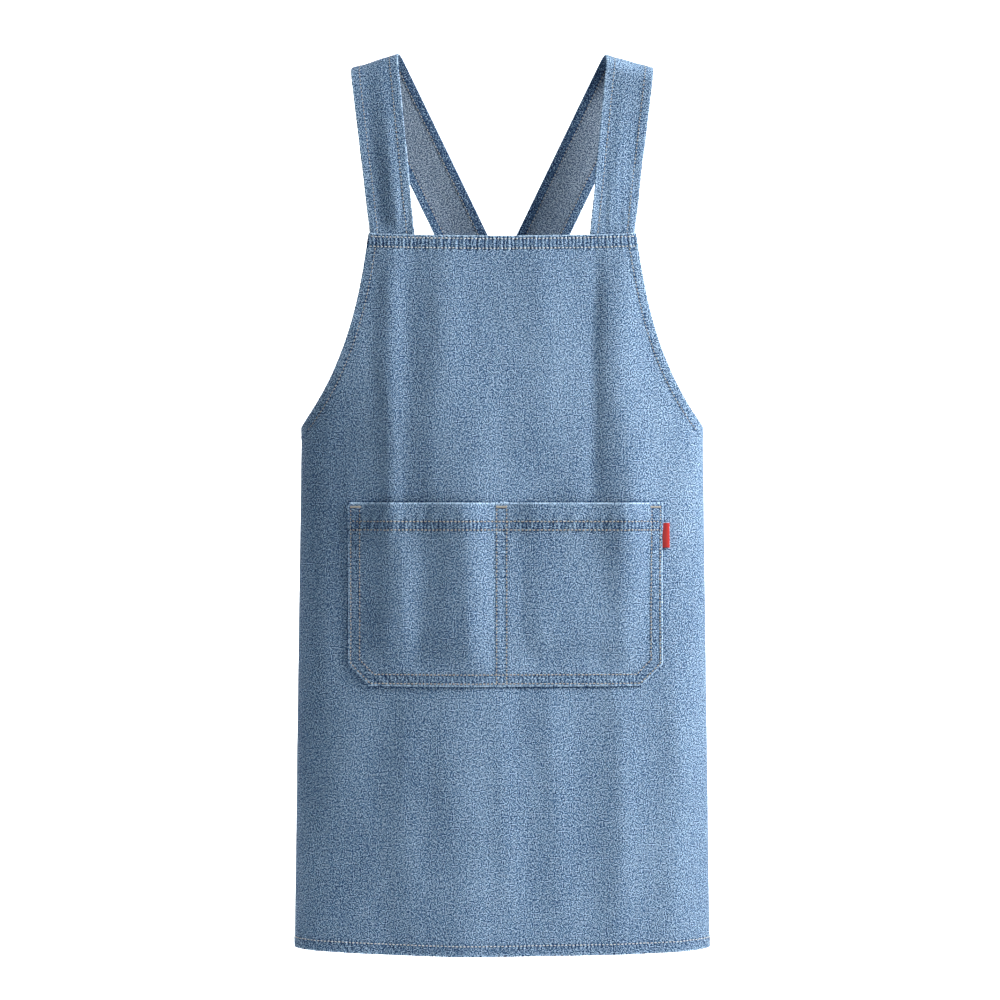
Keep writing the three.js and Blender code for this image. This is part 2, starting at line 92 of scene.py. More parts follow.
# How far a turned band stands out and in, and how deep its stitches sink, by piece.
FRONT_LAYERS, POCKET_LAYERS, BACK_LAYERS = (0.35, 1.2, 0.3), (0.3, 0.7, 0.28), (0.3, 0.25, 0.28)

STRAP_WIDTH, STRAP_TAPER = 48.0, 0.022       # the taper is per mm down the front
STRAP_HALF, STRAP_ROW = STRAP_WIDTH / 2, 8.0
STRAP_THICK, FOLD_BEND = 1.6, 17.0           # of the CAD's strap, and its fold's inside radius
SHOULDER_X, SHOULDER_SLOPE, STRAP_SKEW = 128.5, math.radians(16), math.radians(9.8)
CROSSING_Z, CROSSING_HALF, CROSSING_LIFT = -262.0, 60.0, 1.4
STRAP_TUCK, STRAP_LAP = BIB_BAND - 1, 32.0   # how far its ends reach behind the bib and the back

POCKET_LEFT, POCKET_RIGHT = POCKET_LOW[0] + 0.5, POCKET_HIGH[0] - 0.5
POCKET_TOP, POCKET_BOTTOM, CHAMFER = POCKET_HIGH[2], POCKET_LOW[2], 21.0
DIVIDER, DIVIDER_ROW = -0.5, 5.0             # its x, and its rows' distance from it
MOUTH_BAND, MOUTH_ROWS, SIDE_ROWS = 27.0, (18.0, 26.5), (1.6, 10.6)
SEWN_BAND, SEWN_DIVIDER = 11.0, 6.0          # where the pocket lies flat
POCKET_SEAT = 1.5                            # from the front panel's cloth to the pocket's

QUARTER = math.pi / 2


# ---- small maths
def smooth(x, low=0.0, high=1.0):
    t = np.clip((np.asarray(x, float) - low) / (high - low), 0, 1)
    return t * t * (3 - 2 * t)


def lerp(a, b, t):
    return a + (b - a) * t


def bump(x, centre, width):
    return np.exp(-(((x - centre) / width) ** 2))


def window(x, low, high, ease):
    """1 between low and high, easing to 0 outside them."""
    return smooth(x, low - ease, low) * (1 - smooth(x, high, high + ease))


def band(depth, width, ease=(0.4, 0.7)):
    """1 on a turned band, from the cloth's edge in to its width."""
    return 1 - smooth(depth, width - ease[0], width + ease[1])


def unit(v):
    return v / np.maximum(np.linalg.norm(v, axis=-1, keepdims=True), 1e-9)


def ripple_field(a, b, seed, wide, tall):
    """A smooth random field of about -1 to 1 with features wide by tall."""
    rng, count = np.random.default_rng(seed), 18
    total = np.zeros(np.broadcast(a, b).shape)
    for _ in range(count):
        ka, kb = rng.normal(0, 1.6 / wide), rng.normal(0, 1.6 / tall)
        total = total + np.cos(ka * a + kb * b + rng.uniform(0, 2 * math.pi))
    return total / math.sqrt(count / 2) / 1.6


# ---- the body's surface
def section(z):
    """The body's half width, its bulges in front and behind, and its set-back, at a height."""
    down = np.clip((z - SIDE_Z) / (HEM_Z - SIDE_Z), 0, 1)
    up = np.clip((z - SIDE_Z) / (BIB_Z - SIDE_Z), 0, 1)
    hem, side, bib = FRONT_DEPTHS
    return (
        lerp(SIDE_HALF, HEM_HALF, down),
        np.where(up > 0, lerp(side, bib, up), lerp(side, hem, down)),
        lerp(BACK_DEPTHS[1], BACK_DEPTHS[0], down),
        BIB_SET_BACK * smooth(up),
    )


def body(x, z, face, lift=0.0):
    """Points and outward normals of the body at x and z; face is -1 in front and 1 behind."""
    x, z, lift = np.broadcast_arrays(np.asarray(x, float), np.asarray(z, float), lift)
    half, front, back, side_y = section(z)
    depth = front if face < 0 else back
    across = np.clip(np.abs(x) / half, 0, 1)
    out = (1 - across**POWER) ** (1 / POWER)
    normal = unit(np.stack([
        np.sign(x) * across ** (POWER - 1) / half,
        face * out ** (POWER - 1) / depth,
        np.zeros_like(out)], -1))
    point = np.stack([np.sign(x) * across * half, side_y + face * depth * out, z], -1)
    return point + normal * lift[..., None], normal


def arc_table(z, face):
    """x and the arc length from the centre line, for the section at one height."""
    half, front, back, _ = (float(v) for v in section(np.float64(z)))
    angle = np.linspace(0, math.pi / 2, 160)
    x = half * np.sin(angle) ** (2 / POWER)
    y = (front if face < 0 else back) * np.cos(angle) ** (2 / POWER)
    return x, np.concatenate([[0], np.cumsum(np.hypot(np.diff(x), np.diff(y)))])


def bezier(*points):
    """400 points along a cubic curve."""
    p0, p1, p2, p3 = (np.array(p, float) for p in points)
    t = np.linspace(0, 1, 400)[:, None]
    return (1 - t) ** 3 * p0 + 3 * t * (1 - t) ** 2 * p1 + 3 * t * t * (1 - t) * p2 + t**3 * p3


ARMHOLE = bezier((SIDE_HALF, SIDE_Z), (SIDE_HALF - 35, SIDE_Z + 44),
                 (BIB_HALF + 12, BIB_Z - 92), (BIB_HALF, BIB_Z))
ARMHOLE_SLOPE = -np.gradient(ARMHOLE[:, 0], ARMHOLE[:, 1])
ARMHOLE_LENGTH = np.concatenate([[0], np.cumsum(np.linalg.norm(np.diff(ARMHOLE, axis=0), axis=1))])
BACK_TOP = bezier((BACK_OPENING, BACK_TOP_Z), (120, BACK_TOP_Z),
                  (158, BACK_TOP_Z + 24), (SIDE_HALF, SIDE_Z - 0.5))


def armhole_x(z):
    return np.interp(z, ARMHOLE[:, 1], ARMHOLE[:, 0])


def armhole_slope(z):
    return np.interp(z, ARMHOLE[:, 1], ARMHOLE_SLOPE)


def armhole_run(z):
    return np.interp(z, ARMHOLE[:, 1], ARMHOLE_LENGTH)


def armhole_depth(x, z):
    """Distance in from the armhole's edge."""
    inside = (armhole_x(z) - np.abs(x)) / np.sqrt(1 + armhole_slope(z) ** 2)
    return np.where(z < SIDE_Z, np.hypot(inside, SIDE_Z - z), inside)


def hem_z(x):
    """The hem's lower edge, a little higher at the sides."""
    return HEM_Z + HEM_RISE * (x / HEM_HALF) ** 2


# ---- folds, creases and puckers
# Each fold: x at its top and bottom, top and bottom z, half width and height in millimetres.
FRONT_FOLDS = (
    (-109, -116, -190, -470, 12, 3.4),
    (-56, -74, -185, -400, 24, 3.0),
    (44, 36, -184, -400, 26, 3.0),
    (118, 126, -190, -520, 25, 7.2),
    (98, 88, -195, -440, 9, -2.0),
    (-150, -148, -330, -620, 26, -1.6),
    (-38, -34, -300, -1000, 50, 7.0),
    (-98, -92, -640, -870, 15, 1.4),
    (0, 4, -640, -880, 12, 1.4),
    (50, 54, -640, -880, 12, 1.4),
    (82, 84, -645, -880, 18, -1.2),
    (118, 120, -600, -890, 15, 2.8),
    (174, 176, -560, -900, 14, 2.6),
)
BACK_FOLDS = (
    (60, 52, -445, -905, 16, 1.6),
    (104, 116, -450, -905, 20, 2.4),
    (150, 146, -430, -905, 18, 1.8),
    (80, 84, -445, -700, 12, -1.2),
)


def folds(x, z, table):
    """Lift of the long folds in a table, each waving a little and fading out at its ends."""
    total = np.zeros(np.broadcast(x, z).shape)
    for x0, x1, top, bottom, width, height in table:
        t = np.clip((top - z) / (top - bottom), -0.2, 1.2)
        line = lerp(x0, x1, t) + 3 * np.sin(z / 47 + x0)
        ends = smooth(t, -0.15, 0.2) * (1 - smooth(t, 0.86, 1.18))
        total += height * bump(x, line, width) * ends
    return total


def pucker(along, depth, pitch, slant, seed):
    """Ripples about 1 high beside a row of stitching: along and depth in millimetres."""
    drift = 1.5 * np.sin(along / 19 + seed) + 0.9 * np.sin(along / 7.3 + 2 * seed)
    wave = np.sin(2 * math.pi * (along + slant * depth) / pitch + drift)
    strength = 0.65 + 0.35 * np.sin(along / 31 + 3 * seed)
    return (wave + 0.25 * wave * np.abs(wave)) * strength


def gather(along, depth, pitch, slant, seed, reach, ease=8):
    """The puckers along one seam, fading out past their reach from the cloth's edge."""
    return pucker(along, depth, pitch, slant, seed) * window(depth, -2, reach, ease)


def crumple(x, z, seed):
    """Shallow random unevenness: broad drapes, dents and the cloth's own fine waves."""
    return (
        0.55 * ripple_field(x, z, seed, 26, 85)
        + 0.20 * ripple_field(x, z, seed + 1, 10, 20)
        + 0.07 * ripple_field(x, z, seed + 2, 5, 7)
    )


def front_puckers(x, z):
    """Lift of the front's seams' puckers, and the same as a wear value from -1 to 1."""
    bib = gather(x, BIB_Z - z, 8.2, 0.15, 1.0, 14)
    hem = gather(x, z - hem_z(x), 8.4, 0.75, 2.0, 9)
    arm = gather(armhole_run(z), armhole_depth(x, z), 10.5, 0.5, 3.0 + np.sign(x), 7, 6)
    arm = arm * smooth(z, SIDE_Z - 16, SIDE_Z)
    return 0.3 * bib + 0.34 * hem + 0.2 * arm, np.clip(0.45 * bib + 0.4 * hem + 0.25 * arm, -1, 1)


def corner_rise(x, z):
    """The straps hold the bib's top corners a little higher than its middle."""
    return 2.8 * np.clip(np.abs(x) / BIB_HALF, 0, 1) ** 2 * smooth(z, BIB_Z - 75, BIB_Z)


def on_front(x, z, lift):
    """Points and normals on the front panel's cloth, lift out from its middle."""
    point, normal = body(x, z, -1, front_relief(x, z) + lift)
    point[..., 2] += corner_rise(x, z)
    return point, normal


def front_relief(x, z):
    """Lift of the front panel's cloth from the body's plain surface."""
    half = section(z)[0]
    calm = 1 - 0.8 * smooth(np.abs(x) / half, 0.9, 0.995)
    seams = 1 - 0.5 * bump(z, BIB_Z, 12)
    return (folds(x, z, FRONT_FOLDS) + crumple(x, z, 11)) * calm * seams + front_puckers(x, z)[0]


def back_relief(x, z, side):
    """Lift of a back panel's cloth; the strap holds it still along its top."""
    half = section(z)[0]
    calm = 1 - 0.8 * smooth(np.abs(x) / half, 0.88, 0.99)
    held = np.maximum(smooth(BACK_TOP_Z - z, -8, 46), smooth(np.abs(x), 135, 165) * 0.6)
    lift = folds(np.abs(x), z, BACK_FOLDS) + crumple(x, z, 31 + side)
    return lift * calm * held + 0.36 * gather(x, z - hem_z(x), 8.4, 0.75, 5.0 + side, 9)


# ---- building meshes
def make_mesh(name, verts, faces, mats, face_mats=None, uv=None, **attributes):
    """A smooth mesh: verts in millimetres, faces all quads, uv in metres of cloth per vertex."""
    verts = np.asarray(verts, float).reshape(-1, 3) / 1000
    faces = np.asarray(faces, np.int32)
    sides = faces.shape[1]
    mesh = bpy.data.meshes.new(name)
    mesh.vertices.add(len(verts))
    mesh.vertices.foreach_set("co", verts.astype(np.float32).ravel())
    mesh.loops.add(faces.size)
    mesh.loops.foreach_set("vertex_index", faces.ravel())
    mesh.polygons.add(len(faces))
    mesh.polygons.foreach_set("loop_start", np.arange(0, faces.size, sides, dtype=np.int32))
    mesh.polygons.foreach_set("loop_total", np.full(len(faces), sides, np.int32))
    mesh.polygons.foreach_set("use_smooth", np.full(len(faces), True))
    for material in mats:
        mesh.materials.append(material)
    if face_mats is not None:
        mesh.polygons.foreach_set("material_index", np.asarray(face_mats, np.int32))
    if uv is not None:
        layer = mesh.uv_layers.new(name="cloth")
        layer.data.foreach_set("uv", np.asarray(uv, np.float32)[faces.ravel()].ravel())
    for key, values in attributes.items():
        layer = mesh.attributes.new(key, "FLOAT", "POINT")
        layer.data.foreach_set("value", np.asarray(values, np.float32).ravel())
    mesh.update(calc_edges=True)
    mesh.validate()
    piece = bpy.data.objects.new(name, mesh)
    bpy.context.scene.collection.objects.link(piece)
    return piece


def grid_faces(rows, columns, start=0, flip=False):
    """The quads of a grid of points, counted row by row from start."""
    index = np.arange(rows * columns).reshape(rows, columns) + start
    a, b, c, d = index[:-1, :-1], index[:-1, 1:], index[1:, 1:], index[1:, :-1]
    quads = np.stack([a, b, c, d], -1).reshape(-1, 4)
    return quads[:, ::-1] if flip else quads


def grid_normals(points, like):
    """Normals of a grid of points, turned to the side of the normals like."""
    along = np.gradient(points, axis=1)
    up = np.gradient(points, axis=0)
    normal = unit(np.cross(along, up))
    sign = np.sign(np.sum(normal * like, -1, keepdims=True))
    return normal * np.where(sign == 0, 1, sign)


def rim_loop(rows, columns):
    """The indices of a grid's points in order round its border."""
    return np.concatenate([
        np.arange(columns - 1),
        np.arange(rows - 1) * columns + columns - 1,
        (rows - 1) * columns + np.arange(columns - 1, 0, -1),
        np.arange(rows - 1, 0, -1) * columns])


def seam_marks(shape, *seams):
    """How much stitching gathers the cloth, 0 to 1, and how far along its row, from (mask, run)."""
    masks = np.array([np.broadcast_to(mask, shape) for mask, _ in seams])
    runs = np.array([np.broadcast_to(run, shape) for _, run in seams])
    best = masks.argmax(0)[None]
    return np.take_along_axis(masks, best, 0)[0], np.take_along_axis(runs, best, 0)[0]


def hem_seam(above):
    """How much the hem's row of stitches gathers the cloth."""
    return 0.6 * window(above, 7.0, 11.6, 1.6)


def shell(name, middle, like, out, inn, mats, uv, wear, turned=None, seam=(0, 0), inner_wear=None):
    """A closed cloth: a grid of middle points with its thickness out and in, and a round rim.

    mats are the outer face's and the inner face's materials. turned marks where the inner face
    shows the cloth's right side, as a turned hem does. The inner face is cut from another part of
    the cloth, so that its grain isn't the outer face's.
    """
    rows, columns = middle.shape[:2]
    rings, rim_wear, inner_shift = 3, 0.4, 0.37
    normal = grid_normals(middle, like)
    out, inn = np.broadcast_to(out, (rows, columns)), np.broadcast_to(inn, (rows, columns))
    outer, inner = middle + normal * out[..., None], middle - normal * inn[..., None]
    loop = rim_loop(rows, columns)
    edge_out = np.zeros_like(middle)
    edge_out[:, 0] += unit(middle[:, 0] - middle[:, 1])
    edge_out[:, -1] += unit(middle[:, -1] - middle[:, -2])
    edge_out[0] += unit(middle[0] - middle[1])
    edge_out[-1] += unit(middle[-1] - middle[-2])
    flat = lambda grid: grid.reshape(rows * columns, -1)[loop]
    centre = flat(middle) + flat(normal) * (flat(out) - flat(inn)) / 2
    radius = (flat(out) + flat(inn)) / 2
    rim_out = unit(flat(edge_out))
    verts = [outer.reshape(-1, 3), inner.reshape(-1, 3)]
    count = rows * columns
    for k in range(1, rings + 1):
        angle = math.pi * k / (rings + 1)
        verts.append(centre + radius * (flat(normal) * math.cos(angle) + rim_out * math.sin(angle)))
    flip = np.sum(np.cross(
        middle[0, 1] - middle[0, 0], middle[1, 0] - middle[0, 0]) * normal[0, 0]) < 0
    faces = [grid_faces(rows, columns, 0, flip), grid_faces(rows, columns, count, not flip)]
    ring = [loop] + [2 * count + k * len(loop) + np.arange(len(loop)) for k in range(rings)]
    ring.append(loop + count)
    for near, far in zip(ring[:-1], ring[1:]):
        quad = np.stack([near, far, np.roll(far, -1), np.roll(near, -1)], -1)
        faces.append(quad[:, ::-1] if flip else quad)
    face_mats = np.zeros(sum(map(len, faces)), int)
    inner_mats = face_mats[len(faces[0]):][:len(faces[1])]
    inner_mats[:] = 1
    if turned is not None:
        inner_mats[(turned[:-1, :-1] & turned[1:, 1:]).ravel()] = 0
    flat_uv = uv.reshape(-1, 2)
    spread = lambda part: np.broadcast_to(part, (rows, columns)).reshape(-1)
    outside, inside = spread(wear), spread(wear if inner_wear is None else inner_wear)
    rim = np.clip(outside[loop] + rim_wear, -1, 1.6)
    every = lambda part: np.concatenate([part, part] + [part[loop]] * rings)
    return make_mesh(
        name, np.concatenate(verts), np.concatenate(faces), mats, face_mats,
        uv=np.concatenate([flat_uv, flat_uv + inner_shift] + [flat_uv[loop]] * rings),
        wear=np.concatenate([outside, inside] + [rim] * rings),
        seam=every(spread(seam[0])), run=every(spread(seam[1])),
    )


def resample(points, normals, pitch):
    """Places along a path at an even pitch: points, normals, tangents."""
    step = np.linalg.norm(np.diff(points, axis=0), axis=1)
    run = np.concatenate([[0], np.cumsum(step)])
    count = max(2, int(run[-1] / pitch))
    at = (np.arange(count) + 0.5) * run[-1] / count
    take = lambda values, where: np.stack([np.interp(where, run, values[:, k]) for k in range(3)], -1)
    reach = 0.6
    tangent = unit(take(points, at + reach) - take(points, at - reach))
    return take(points, at), unit(take(normals, at)), tangent


# Each ring of a stitch's thread: its place along the stitch, thickness and height.
STITCH_RINGS = ((-0.5, 0.35, -0.42), (-0.36, 0.85, -0.06), (0.0, 1.0, 0.05), (0.36, 0.85, -0.06),
                (0.5, 0.35, -0.42))


def stitches(name, path, material, pitch=PITCH, length=2.4, width=1.05, height=0.55, seed=0, slant=0.0):
    """Separate stitches along a path of (points, normals): each a rounded thread, sunk at its ends."""
    centre, normal, tangent = resample(path[0], path[1], pitch)
    rng = np.random.default_rng(seed + 101)
    count = len(centre)
    across = unit(np.cross(normal, tangent))
    uneven = lambda spread: rng.normal(0, spread, (count, 1))
    turn = slant + uneven(0.06)
    tangent, across = (
        tangent * np.cos(turn) + across * np.sin(turn),
        across * np.cos(turn) - tangent * np.sin(turn))
    centre = centre + across * uneven(0.08)
    rings, corners = len(STITCH_RINGS), 6
    verts = np.zeros((count, rings, corners, 3))
    size = 1 + uneven(0.07)
    for i, (end, fat, sink) in enumerate(STITCH_RINGS):
        for j in range(corners):
            turn = j * math.pi / 3
            verts[:, i, j] = (
                centre + tangent * end * length * size
                + across * math.cos(turn) * width / 2 * fat
                + normal * (math.sin(turn) * height * fat + sink))
    each = rings * corners
    local = []
    for near in range(0, each - corners, corners):
        for j in range(corners):
            k = (j + 1) % corners
            local.append([near + j, near + k, near + corners + k, near + corners + j])
    last = each - corners
    local += [[0, 3, 2, 1], [0, 5, 4, 3]]
    local += [[last, last + 1, last + 2, last + 3], [last, last + 3, last + 4, last + 5]]
    faces = (np.array(local)[None] + (np.arange(count) * each)[:, None, None]).reshape(-1, 4)
    along = np.tile(np.repeat(np.arange(rings) / 4, corners), count)
    along = along + np.repeat(np.arange(count), each) * 1.37
    around = np.tile(np.arange(corners) / corners, rings * count)
    return make_mesh(name, verts.reshape(-1, 3), faces, [material],
                     uv=np.stack([along, around], -1) * 0.003)


# ---- materials
class Nodes:
    """A short way to write a node tree."""

    def __init__(self, name, roughness, sheen=0.0):
        self.material = bpy.data.materials.new(name)
        self.material.use_nodes = True
        self.tree = self.material.node_tree
        self.shader = self.tree.nodes["Principled BSDF"]
        self.shader.inputs["Roughness"].default_value = roughness
        self.shader.inputs["Sheen Weight"].default_value = sheen
        self.shader.inputs["Sheen Roughness"].default_value = 0.5
        self.shader.inputs["Specular IOR Level"].default_value = 0.25

    def add(self, kind, settings=(), **inputs):
        """A node with its settings, and its inputs by name, or i0, i1 and so on by number."""
        node = self.tree.nodes.new("ShaderNode" + kind)
        for key, value in dict(settings).items():
            setattr(node, key, value)
        for key, value in inputs.items():
            number = key[1:] if key[0] == "i" else ""
            self.feed(node.inputs[int(number) if number.isdigit() else key], value)
        return node

    def feed(self, socket, value):
        if hasattr(value, "is_output"):
            self.tree.links.new(value, socket)
        else:
            socket.default_value = value

    def maths(self, operation, a, b=0.0, clamp=False):
        settings = {"operation": operation, "use_clamp": clamp}
        return self.add("Math", settings, i0=a, i1=b).outputs[0]

    def mix(self, factor, a, b):
        return self.add("Mix", {"data_type": "RGBA"}, i0=factor, i6=a, i7=b).outputs[2]

    def noise(self, vector, scale, detail, rough=0.5):
        return self.add("TexNoise", Vector=vector, Scale=scale, Detail=detail,
                        Roughness=rough).outputs["Fac"]

    def bands(self, vector, direction, scale, distortion, **inputs):
        settings = {"wave_type": "BANDS", "bands_direction": direction}
        return self.add("TexWave", settings, Vector=vector, Scale=scale, Distortion=distortion,
                        **inputs).outputs["Fac"]

    def scaled(self, vector, scale):
        return self.add("Mapping", Vector=vector, Scale=scale).outputs[0]

    def grain(self, cloth, across, along, detail, rough=0.5):
        """Noise stretched over the cloth, with these many features per mm across and along."""
        return self.noise(self.scaled(cloth, (across, along, 1)), 1.0, detail, rough)

    def attribute(self, name):
        return self.add("Attribute", {"attribute_name": name}).outputs["Fac"]

    def total(self, parts, about=0.0):
        """The sum of (value, share) pairs, each value measured from about."""
        centred = lambda value: self.maths("SUBTRACT", value, about) if about else value
        terms = [self.maths("MULTIPLY", centred(value), share) for value, share in parts]
        return functools.reduce(lambda a, b: self.maths("ADD", a, b), terms)

    def cloth_mm(self):
        """The cloth's own coordinates in millimetres."""
        return self.scaled(self.add("UVMap", {"uv_map": "cloth"}).outputs[0], (1000, 1000, 1000))

    def finish(self, colour, height, distance, strength=0.5, roughness=None):
        """The material, with its colour, a bump and, if given, a roughness that varies."""
        self.feed(self.shader.inputs["Base Color"], colour)
        if roughness is not None:
            self.feed(self.shader.inputs["Roughness"], roughness)
        node = self.add("Bump", Height=height, Strength=strength, Distance=distance)
        self.feed(self.shader.inputs["Normal"], node.outputs[0])
        return self.material


def rgb(*srgb):
    """A linear colour from sRGB values of 0 to 255."""
    linear = lambda c: c / 12.92 if c <= 0.04 else ((c + 0.055) / 1.055) ** 2.4
    return (*(linear(c / 255) for c in srgb), 1.0)


def denim(name, deep, middle, pale, fade=1.0):
    """Washed twill: indigo warp over a pale weft, worn light on ridges and edges."""
    n = Nodes(name, 0.9, sheen=0.04)
    cloth = n.cloth_mm()
    speckle = n.grain(cloth, 0.86, 0.84, 0.5)
    dashes = n.grain(cloth, 1.15, 0.42, 1.0)
    slub = n.grain(cloth, 0.6, 0.045, 2.0, 0.6)
    weft = n.grain(cloth, 0.045, 0.6, 1.0)
    cloud = n.grain(cloth, 0.02, 0.008, 3.0)
    twill = n.bands(n.scaled(cloth, (1.0, -0.8, 0)), "DIAGONAL", 0.71, 1.3,
                    **{"Detail": 1.0, "Detail Scale": 0.5})
    # The seams' ladder: pale bars between the stitches, a little uneven.
    shift = n.maths("MULTIPLY", n.grain(cloth, 0.16, 0.16, 1.0), 5.0)
    bars = n.maths("MULTIPLY", n.attribute("run"), 2 * math.pi / PITCH)
    bars = n.maths("SINE", n.maths("ADD", bars, shift))
    ladder = n.maths("MULTIPLY", n.maths("ADD", bars, -0.3), n.attribute("seam"))
    grain = n.total(
        ((speckle, 3.6), (dashes, 0.9), (slub, 0.5), (weft, 0.1), (cloud, 0.3), (twill, 0.6)), 0.5)
    # This attribute holds real wear and also painted shadow round the pocket and where the straps tuck
    # behind the bib.
    worn = n.total(((n.attribute("wear"), 0.36 * fade), (ladder, 0.32 * fade)))
    tone = n.maths("ADD", n.maths("ADD", grain, worn), 0.5, clamp=True)
    ramp = n.add("ValToRGB", Fac=tone)
    stops = ramp.color_ramp.elements
    stops[0].color, stops[1].color = deep, pale
    stops.new(0.5).color = middle
    height = n.total(((twill, 0.4), (speckle, 0.8), (dashes, 0.7), (ladder, 0.7)))
    return n.finish(ramp.outputs[0], height, distance=0.0005,
                    roughness=n.maths("ADD", n.maths("MULTIPLY", speckle, 0.12), 0.82))


def thread(name, colour, dark):
    """Twisted sewing thread, greyed in places."""
    n = Nodes(name, 0.75, sheen=0.1)
    cloth = n.cloth_mm()
    ply = n.bands(cloth, "DIAGONAL", 0.9, 0.4)
    age = n.grain(cloth, 0.25, 0.1, 2.0)
    worn = n.mix(n.maths("MULTIPLY", age, 0.8), colour, dark)
    shade = n.mix(n.maths("MULTIPLY", ply, 0.45), worn, dark)
    return n.finish(shade, ply, distance=0.0001,
                    roughness=n.maths("ADD", n.maths("MULTIPLY", age, 0.1), 0.7))


def woven_tape(name, colour, dark, lit):
    """Ribbed tape, with a painted highlight towards its fold and painted shade away from it, set by a
    mesh attribute.
    """
    n = Nodes(name, 0.6, sheen=0.2)
    cloth = n.cloth_mm()
    rib = n.bands(cloth, "Y", 0.5, 0.2)
    weave = n.maths("ADD", rib, n.grain(cloth, 1.2, 1.2, 2.0))
    shade = n.mix(n.maths("MULTIPLY", weave, 0.42), colour, dark)
    # Painted shade away from the fold, painted highlight towards it.
    shade = n.mix(n.attribute("wear"), n.mix(0.65, shade, dark), n.mix(0.25, shade, lit))
    return n.finish(shade, weave, distance=0.00015)


RIGHT_SIDE = denim("denim", rgb(9, 33, 68), rgb(64, 104, 145), rgb(176, 203, 228))
WRONG_SIDE = denim("denim_inside", rgb(40, 55, 78), rgb(90, 111, 136), rgb(172, 188, 204), 0.8)
PALE_THREAD = thread("thread_pale", rgb(232, 234, 232), rgb(182, 188, 190))
BEIGE_THREAD = thread("thread_beige", rgb(184, 184, 180), rgb(132, 134, 132))
TAN_THREAD = thread("thread_tan", rgb(206, 200, 188), rgb(146, 140, 130))
# The red tape's last colour is its painted highlight.
RED_TAPE = woven_tape("tape_red", rgb(196, 14, 16), rgb(104, 2, 6), rgb(238, 60, 36))
BOTH = (RIGHT_SIDE, WRONG_SIDE)


def place(piece, rides, slot, *nodes):
    """Parents the piece to the body it rides on when that is a name, else leaves it where it is, and
    hides the CAD nodes it stands for. slot is not used.
    """
    if isinstance(rides, str):
        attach(piece, rides)
    else:
        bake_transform(piece)
    if nodes:
        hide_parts(*nodes)


def sew(name, path, material, rides, *nodes, **sizes):
    """A row of stitches on a body or across a bend, and the CAD node it stands for."""
    place(stitches(name, path, material, **sizes), rides, "thread", *nodes)


# ---- front panel
def spaced(*stops):
    """Heights from stop to stop: spaced(a, step, b, step, c) with about those steps."""
    values = [stops[0]]
    for step, end in zip(stops[1::2], stops[2::2]):
        count = max(1, round(abs(end - values[-1]) / step))
        values += list(np.linspace(values[-1], end, count + 1)[1:])
    return np.array(values)


def front_grid():
    """x and z of the front panel's grid: close along its edges and along the pocket's sides."""
    levels = spaced(HEM_Z, 1.1, HEM_Z + 18, 3.6, POCKET_BOTTOM - 5, 1.0, POCKET_BOTTOM + 1,
                    3.8, POCKET_TOP - 1, 1.0, POCKET_TOP + 5, 3.4,
                    SIDE_Z - 18, 1.8, SIDE_Z, 2.8, BIB_Z - 20, 1.1, BIB_Z)
    near = spaced(0, 0.9, 10.8, 1.6, 14)
    # Shares of the half width, with more of them where the pocket's sides are sewn on.
    inner, gap = np.linspace(-1, 1, 146)[1:-1], 0.004
    for low, high in ((-0.755, -0.715), (0.738, 0.778)):
        inner = inner[(inner < low - gap) | (inner > high + gap)]
        inner = np.sort(np.concatenate([inner, np.linspace(low, high, 9)]))
    xs, zs = [], []
    for z in levels:
        x_table, s_table = arc_table(z, -1)
        if z > SIDE_Z:
            edge = np.interp(armhole_x(z), x_table, s_table)
            lean = math.sqrt(1 + armhole_slope(z) ** 2)
        else:
            edge = s_table[-1]
            lean = 1 + 0.28 * smooth(z, SIDE_Z - 40, SIDE_Z)
        outer = edge - near * lean
        s = np.concatenate([-outer, inner * outer[-1], outer[::-1]])
        x = np.sign(s) * np.interp(np.abs(s), s_table, x_table)
        share = np.clip((z - HEM_Z) / (SIDE_Z - HEM_Z), 0, 1)
        xs.append(x)
        zs.append(z + (hem_z(x) - HEM_Z) * (1 - share))
    return np.array(xs), np.array(zs)


def cloth_uv(middle):
    """Cloth coordinates in metres: arc length across each row from x = 0, and height."""
    step = np.linalg.norm(np.diff(middle, axis=1), axis=2)
    run = np.concatenate([np.zeros((len(middle), 1)), np.cumsum(step, axis=1)], axis=1)
    centre = np.argmin(np.abs(middle[0, :, 0]))
    return np.stack([run - run[:, centre:centre + 1], middle[..., 2]], -1) / 1000


def pocket_painted_shadow(x, z):
    """Painted shadow: a narrow dark line on the cloth round the pocket's sewn edge and just above its
    mouth.
    """
    sewn = bump(-pocket_edge(x, z), 1.2, 1.0) * (1 - smooth(z, POCKET_TOP, POCKET_TOP + 2))
    mouth = bump(z - POCKET_TOP, 1.4, 1.2) * window(x, POCKET_LEFT, POCKET_RIGHT, 1.5)
    return np.clip(sewn + mouth, 0, 1)


